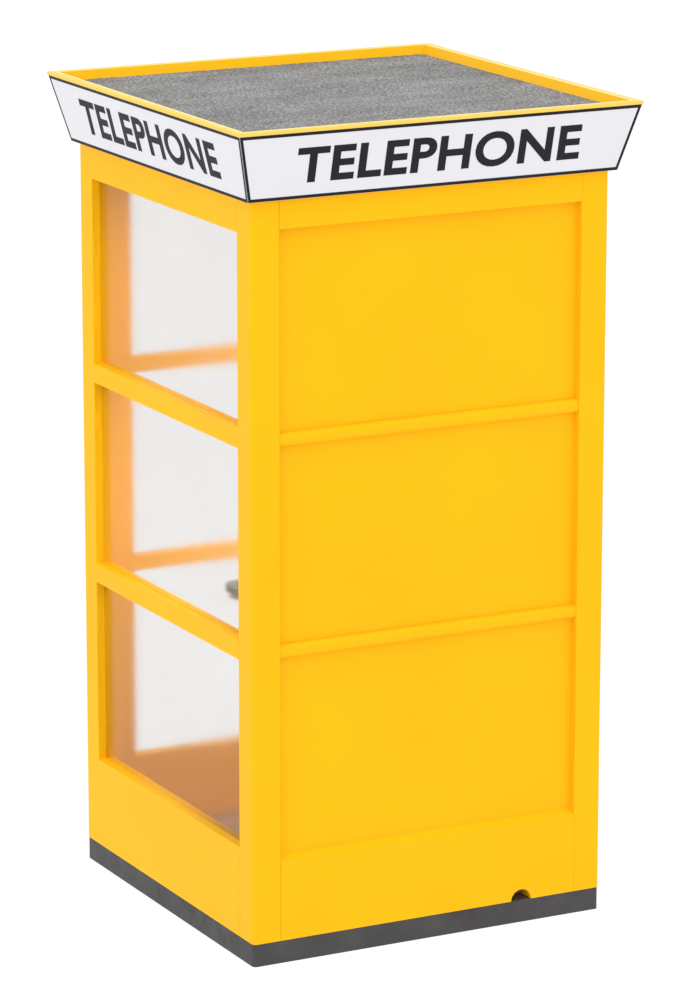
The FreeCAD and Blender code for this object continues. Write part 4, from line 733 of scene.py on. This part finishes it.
def dial_numbers():
    """A card under the finger wheel, and one figure at each hole, evenly turned about the dial's centre."""
    inner, outer = CARD_R
    card = Shape().grid(turned([(inner, 0), (outer, 0), (outer, CARD_T), (inner, CARD_T)],
                               dial_centre + (0, CARD_BACK, 0), (0, -1, 0), 64), wrap_rows=True, caps=False)
    card.piece("dial_card", card_paper, "booth", "enamel_white")
    figures = Shape()
    for i, digit in enumerate("1234567890"):
        angle = math.radians(FIRST_FIGURE + FIGURE_TURN * i)
        points, triangles = text_arrays(digit, 0.01, FIGURE_T)
        width = NARROW_W if digit == "1" else FIGURE_W
        x = dial_centre[0] + FIGURES_R * math.cos(angle) + points[:, 0] * width
        z = dial_centre[2] + FIGURES_R * math.sin(angle) + points[:, 1] * FIGURE_H
        y = dial_centre[1] + 0.5 * MM - points[:, 2]
        figures.add(np.stack([x, y, z], axis=1), [triangles])
    figures.piece("dial_figures", sign_ink, "booth", "black_gloss")


def dial_middle():
    """The small turned cap that holds the wheel, dished inside its rim."""
    centre = (0, wheel_lo[1] - 1.1 * MM, dial_centre[2])
    profile = [(14 * MM, -1.0 * MM), (14 * MM, 0.9 * MM), (12.6 * MM, 1.8 * MM), (11.6 * MM, 1.2 * MM),
               (0.3 * MM, 1.5 * MM)]
    cap = Shape().grid(turned(profile, centre, (0, -1, 0), 48))
    cap.piece("dial_cap", chrome, "dial", "chrome_bar")


def face_frame(name, middle, half, width, depth):
    """A flat chrome frame on the telephone's face, which looks towards -Y: four mitred corners, each with
    a bevelled section of five points."""
    inset = np.array([0, 0, width * 0.3, width, width])
    out = np.array([0.2 * MM, -depth * 0.6, -depth, -depth * 0.7, 0.2 * MM])
    grid = np.zeros((4, 5, 3))
    for k, (way_x, way_z) in enumerate(((1, 1), (-1, 1), (-1, -1), (1, -1))):
        grid[k, :, 0] = middle[0] - way_x * (half[0] - inset)
        grid[k, :, 1] = phone_face + out
        grid[k, :, 2] = middle[1] - way_z * (half[1] - inset)
    Shape().grid(grid, wrap_rows=True, caps=False).piece(name, chrome, "booth", "chrome_bar")


def flat_block(middle, half, near, far, radius, steps=3):
    """A thin rounded block that looks towards -Y: middle and half size in x and z, near and far in y."""
    return block((middle[0] - half[0], near, middle[1] - half[1]),
                 (middle[0] + half[0], far, middle[1] + half[1]), radius, steps)


def phone_details():
    """Coin slot plate, framed card with ruled lines, button ring and return cup frame."""
    face_frame("coin_slot_plate", (62 * MM, dial_centre[2] + 71 * MM), (13 * MM, 24 * MM), 10.4 * MM,
               2.4 * MM)
    card_x, card_z = -38 * MM, dial_centre[2] + 82 * MM
    face_frame("card_frame", (card_x, card_z), (62 * MM, 22 * MM), 4 * MM, 2.6 * MM)
    card = Shape().grid(flat_block((card_x, card_z), (59 * MM, 19 * MM), phone_face - 1.0 * MM,
                                   phone_face + 0.3 * MM, 0.2 * MM))
    card.piece("instruction_card", card_paper, "booth", "enamel_white")
    lines = Shape()
    for row, short in enumerate((0, 9, 3, 16, 6)):
        x, z = card_x - short / 2 * MM, card_z + (11 - 5.4 * row) * MM
        lines.grid(flat_block((x, z), ((50 - short / 2) * MM, 0.7 * MM), phone_face - 1.15 * MM,
                              phone_face - 0.9 * MM, 0.1 * MM, 1))
    lines.piece("card_rules", sign_ink, "booth", "black_gloss")
    button_lo, button_hi = corners("refund_button")
    x, z = (button_lo[0] + button_hi[0]) / 2, (button_lo[2] + button_hi[2]) / 2
    profile = [(9 * MM, 0), (13 * MM, 0), (13 * MM, 1 * MM), (11.5 * MM, 2.2 * MM), (9 * MM, 2.2 * MM)]
    bezel = Shape().grid(turned(profile, (x, phone_face + 0.1 * MM, z), (0, -1, 0)), wrap_rows=True,
                         caps=False)
    bezel.piece("button_bezel", chrome, "booth", "chrome_bar")
    face_frame("cup_frame", (-68 * MM, phone_lo[2] + 41 * MM), (34 * MM, 29 * MM), 5.6 * MM, 2.2 * MM)


CAP_R, CAP_H = 27 * MM, 28 * MM                 # the handset's ear and mouth caps
GRIP_W, GRIP_H = 11.5 * MM, 9 * MM              # half sizes of the grip's oval
GRIP_SINK, GRIP_BOW = 7 * MM, 26 * MM
CAP_PROFILE = [(4, 0.6), (14, 0.2), (21, 1.6), (25, 5), (26.6, 10), (27, 17.4), (26.4, 18.2), (26.4, 19),
               (27, 19.8), (27, 25), (25.6, 27.4), (23, 28), (21, 27.0), (3, 26.2)]


def handset_piece():
    """A moulded handset: an oval carried along a path that bows out by 1 - |2t - 1|^3.4 of its depth and
    swells towards its ends by 0.28 |2t - 1|^4, with turned ear and mouth caps and rings of small holes."""
    lo, hi = corners("handset")
    x, front = (lo[0] + hi[0]) / 2, hi[1]
    ear_z, mouth_z = hi[2] - CAP_R, lo[2] + CAP_R
    rear = front - CAP_H
    t = np.linspace(0, 1, 41)
    bow = 1 - np.abs(2 * t - 1) ** 3.4
    path = np.stack([0 * t + x, rear + GRIP_SINK - GRIP_BOW * bow, ear_z + (mouth_z - ear_z) * t], axis=1)
    turn = np.linspace(0, TAU, 28, endpoint=False)
    girth = 1 + 0.28 * np.abs(2 * t - 1) ** 4
    section = np.stack([GRIP_H * np.cos(turn) * girth[:, None], GRIP_W * np.sin(turn) * girth[:, None]],
                       axis=2)
    shape = Shape().grid(carried(path, section, (1, 0, 0)))
    profile = np.array(CAP_PROFILE) * MM
    for z in (ear_z, mouth_z):
        shape.grid(turned(profile, (x, rear, z), (0, 1, 0), 48))
    shape.piece("handset_moulding", black_plastic, "handset", "black_gloss", replaces=["handset"])
    holes = Shape()
    rim = [(1.5 * MM, 0), (1.5 * MM, 0.25 * MM), (1.0 * MM, 0.3 * MM)]
    for z in (ear_z, mouth_z):
        for count, radius in ((1, 0), (6, 6 * MM), (12, 12 * MM)):
            for angle in TAU * np.arange(count) / count:
                place = (x + radius * math.cos(angle), front - 1.75 * MM, z + radius * math.sin(angle))
                holes.grid(turned(rim, place, (0, 1, 0), 10))
    holes.piece("handset_grille", sign_ink, "handset", "black_gloss")


dial_numbers()
dial_middle()
phone_details()
handset_piece()


# ---------------------------------------------------------------- directories
BOOK_HALF, TUBE_R, BOARD_T = 20 * MM, 11 * MM, 2.6 * MM      # half thickness, fold over the rod, cover
SHOULDER = 26 * MM        # from the rod down to where the book is full width
LABEL = (55 * MM, 32 * MM)                       # half sizes
LABEL_DROP = 62 * MM


def directory_piece(side):
    """A hanging directory: a cover folded over the tube, boards down both sides, and the leaves between.
    The cover's outline is an arc over the tube, eased to the boards by half a cosine wave; its label and
    ruled lines lie on the face towards the door."""
    node = "directory_" + side
    lo, hi = corners(node)
    middle_x, y, foot = (lo[0] + hi[0]) / 2, (lo[1] + hi[1]) / 2, lo[2]
    rod_z = hi[2] - TUBE_R
    shoulder = rod_z - SHOULDER
    bend = np.linspace(math.radians(200), math.radians(-20), 15)
    cap = np.stack([np.cos(bend) * TUBE_R, rod_z + np.sin(bend) * TUBE_R], axis=1)
    ease = np.linspace(0, 1, 6)[:-1]
    left = np.stack([-BOOK_HALF + (BOOK_HALF - TUBE_R * 0.94) * (1 - np.cos(ease * math.pi)) / 2,
                     shoulder + (rod_z - 4 * MM - shoulder) * ease], axis=1)
    right = left[::-1] * (-1, 1)
    page = BOOK_HALF - BOARD_T
    inner = [(BOOK_HALF, foot), (page, foot), (page, shoulder), (-page, shoulder), (-page, foot),
             (-BOOK_HALF, foot)]
    outline = np.concatenate([left, cap, right, inner])
    points = np.stack([0 * outline[:, 0], y + outline[:, 0], outline[:, 1]], axis=1)
    cover = Shape().grid(outline_bar(points[::-1], (lo[0], 0, 0), (hi[0] - lo[0], 0, 0)))
    cover.piece("directory_cover_" + side, cloth, node, "book_binding", replaces=[node])
    leaves = Shape().grid(block((lo[0] + 3.5 * MM, y - page, foot + 4 * MM),
                                (hi[0] - 3.5 * MM, y + page, shoulder), 1.2 * MM))
    leaves.piece("directory_leaves_" + side, pages, node, "enamel_white")
    face, label_z = y - BOOK_HALF, shoulder - LABEL_DROP
    label = Shape().grid(flat_block((middle_x, label_z), LABEL, face - 0.5 * MM, face + 0.4 * MM, 0.2 * MM))
    label.piece("directory_label_" + side, card_paper, node, "enamel_white")
    rules = Shape()
    for rise, reach in ((18, 40), (6, 46), (-6, 46), (-18, 28)):
        rules.grid(flat_block((middle_x, label_z + rise * MM), (reach * MM, 1.2 * MM), face - 0.7 * MM,
                              face - 0.3 * MM, 0.1 * MM, 1))
    rules.piece("directory_rules_" + side, sign_ink, node, "black_gloss")


directory_piece("left")
directory_piece("right")


# ---------------------------------------------------------------- fittings
def handle_screws():
    """Four screws through each handle's feet, inside and out."""
    lo, hi = corners("door_handles")
    x = (lo[0] + hi[0]) / 2
    leaf_lo, leaf_hi = corners("door_lock_stile")
    foot_t, apart = 4 * MM, 11.6 * MM
    for face, way, side in ((leaf_lo[1], -1, "outer"), (leaf_hi[1], 1, "inner")):
        places = [(x + aside, face + way * foot_t, z) for z in (lo[2] + 15 * MM, hi[2] - 15 * MM)
                  for aside in (-apart, apart)]
        screw_heads("handle_screws_" + side, places, (0, way, 0), 2.4 * MM, steel, "door", "hinge_steel")


def sill_screws():
    """Five screws along the threshold."""
    lo, hi = corners("threshold")
    end_gap = 60 * MM
    places = [(x, (lo[1] + hi[1]) / 2, hi[2]) for x in np.linspace(lo[0] + end_gap, hi[0] - end_gap, 5)]
    screw_heads("threshold_screws", places, (0, 0, 1), 4 * MM, steel, "booth", "steel_plate")


def lamp_ring():
    """A turned ring that holds the lamp's dome to the ceiling."""
    _, hi = corners("lamp_dome")
    profile = [(88 * MM, 0), (93 * MM, 0), (93 * MM, 5 * MM), (90 * MM, 7 * MM), (88.4 * MM, 5 * MM)]
    ring = Shape().grid(turned(profile, (0, 0, hi[2]), (0, 0, -1), 64), wrap_rows=True, caps=False)
    ring.piece("lamp_ring", chrome, "booth", "chrome_bar")


handle_screws()
sill_screws()
lamp_ring()


# ---------------------------------------------------------------- stage
FLOOR_REACH = 60.0
AIM = (0, 0, 1.2)
WARM = (1.0, 0.82, 0.6)
CAMERA_PLACE = (5.9539, 11.4609, 4.3239)
CAMERA_TURN = (-117.569, -13.834, 0.072)        # yaw, pitch and roll, degrees
CAMERA_LENS = 168.19      # on a 36 mm sensor


def stage():
    """A wide pale floor, lit a little by itself so that it stays even."""
    mesh = bpy.data.meshes.new("studio_floor")
    reach = FLOOR_REACH
    mesh.from_pydata([(-reach, -reach, 0), (reach, -reach, 0), (reach, reach, 0), (-reach, reach, 0)], [],
                     [(0, 1, 2, 3)])
    floor = bpy.data.objects.new("studio_floor", mesh)
    finish = Finish("studio_floor", (0.28, 0.28, 0.28), specular_ior_level=0.0, roughness=1.0,
                    emission_color=(1.0, 1.0, 1.0, 1.0), emission_strength=0.78)
    mesh.materials.append(finish.material)
    bpy.context.scene.collection.objects.link(floor)


def lamp(name, place, target, size, power, colour=(1.0, 1.0, 1.0)):
    """A round soft light at place, turned towards target."""
    light = bpy.data.lights.new(name, "AREA")
    light.shape, light.size, light.energy, light.color = "DISK", size, power, colour
    obj = bpy.data.objects.new(name, light)
    place, target = Vector(place), Vector(target)
    obj.rotation_euler = (target - place).to_track_quat("-Z", "Y").to_euler()
    obj.location = place
    obj.visible_camera = False
    bpy.context.scene.collection.objects.link(obj)


def lights():
    """An even white surround, three soft lights outside and two small warm ones in the cabin."""
    world = bpy.data.worlds.new("studio")
    bpy.context.scene.world = world
    world.use_nodes = True
    world.node_tree.nodes["Background"].inputs["Color"].default_value = (1.0, 1.0, 1.0, 1.0)
    world.node_tree.nodes["Background"].inputs["Strength"].default_value = 0.97
    lamp("top", (1.2, 2.5, 12.0), AIM, 6.0, 420)
    lamp("key", (4.0, 7.5, 8.5), AIM, 5.0, 90)
    lamp("fill", (9.0, 1.5, 3.0), AIM, 4.0, 45)
    lamp("cabin", (0, 0, 2.05), (0, 0, 1.0), 0.3, 7, WARM)
    lamp("cabin_low", (0, 0, 1.4), (0, -0.1, 0), 0.5, 6, WARM)


def camera():
    """The camera stands behind the booth's right corner, a little above it, with a long lens."""
    yaw, pitch, roll = (math.radians(angle) for angle in CAMERA_TURN)
    ahead = Vector((math.cos(pitch) * math.cos(yaw), math.cos(pitch) * math.sin(yaw), math.sin(pitch)))
    right = ahead.cross(Vector((0, 0, 1))).normalized()
    up = right.cross(ahead)
    turned_right = right * math.cos(roll) + up * math.sin(roll)
    turned_up = up * math.cos(roll) - right * math.sin(roll)
    data = bpy.data.cameras.new("camera")
    data.sensor_width, data.lens = 36.0, CAMERA_LENS
    data.clip_end = 200
    obj = bpy.data.objects.new("camera", data)
    axes = Matrix((turned_right, turned_up, -ahead)).transposed()
    obj.matrix_world = Matrix.Translation(CAMERA_PLACE) @ axes.to_4x4()
    bpy.context.scene.collection.objects.link(obj)
    bpy.context.scene.camera = obj


stage()
lights()
camera()
bpy.context.scene.view_settings.view_transform = "Standard"
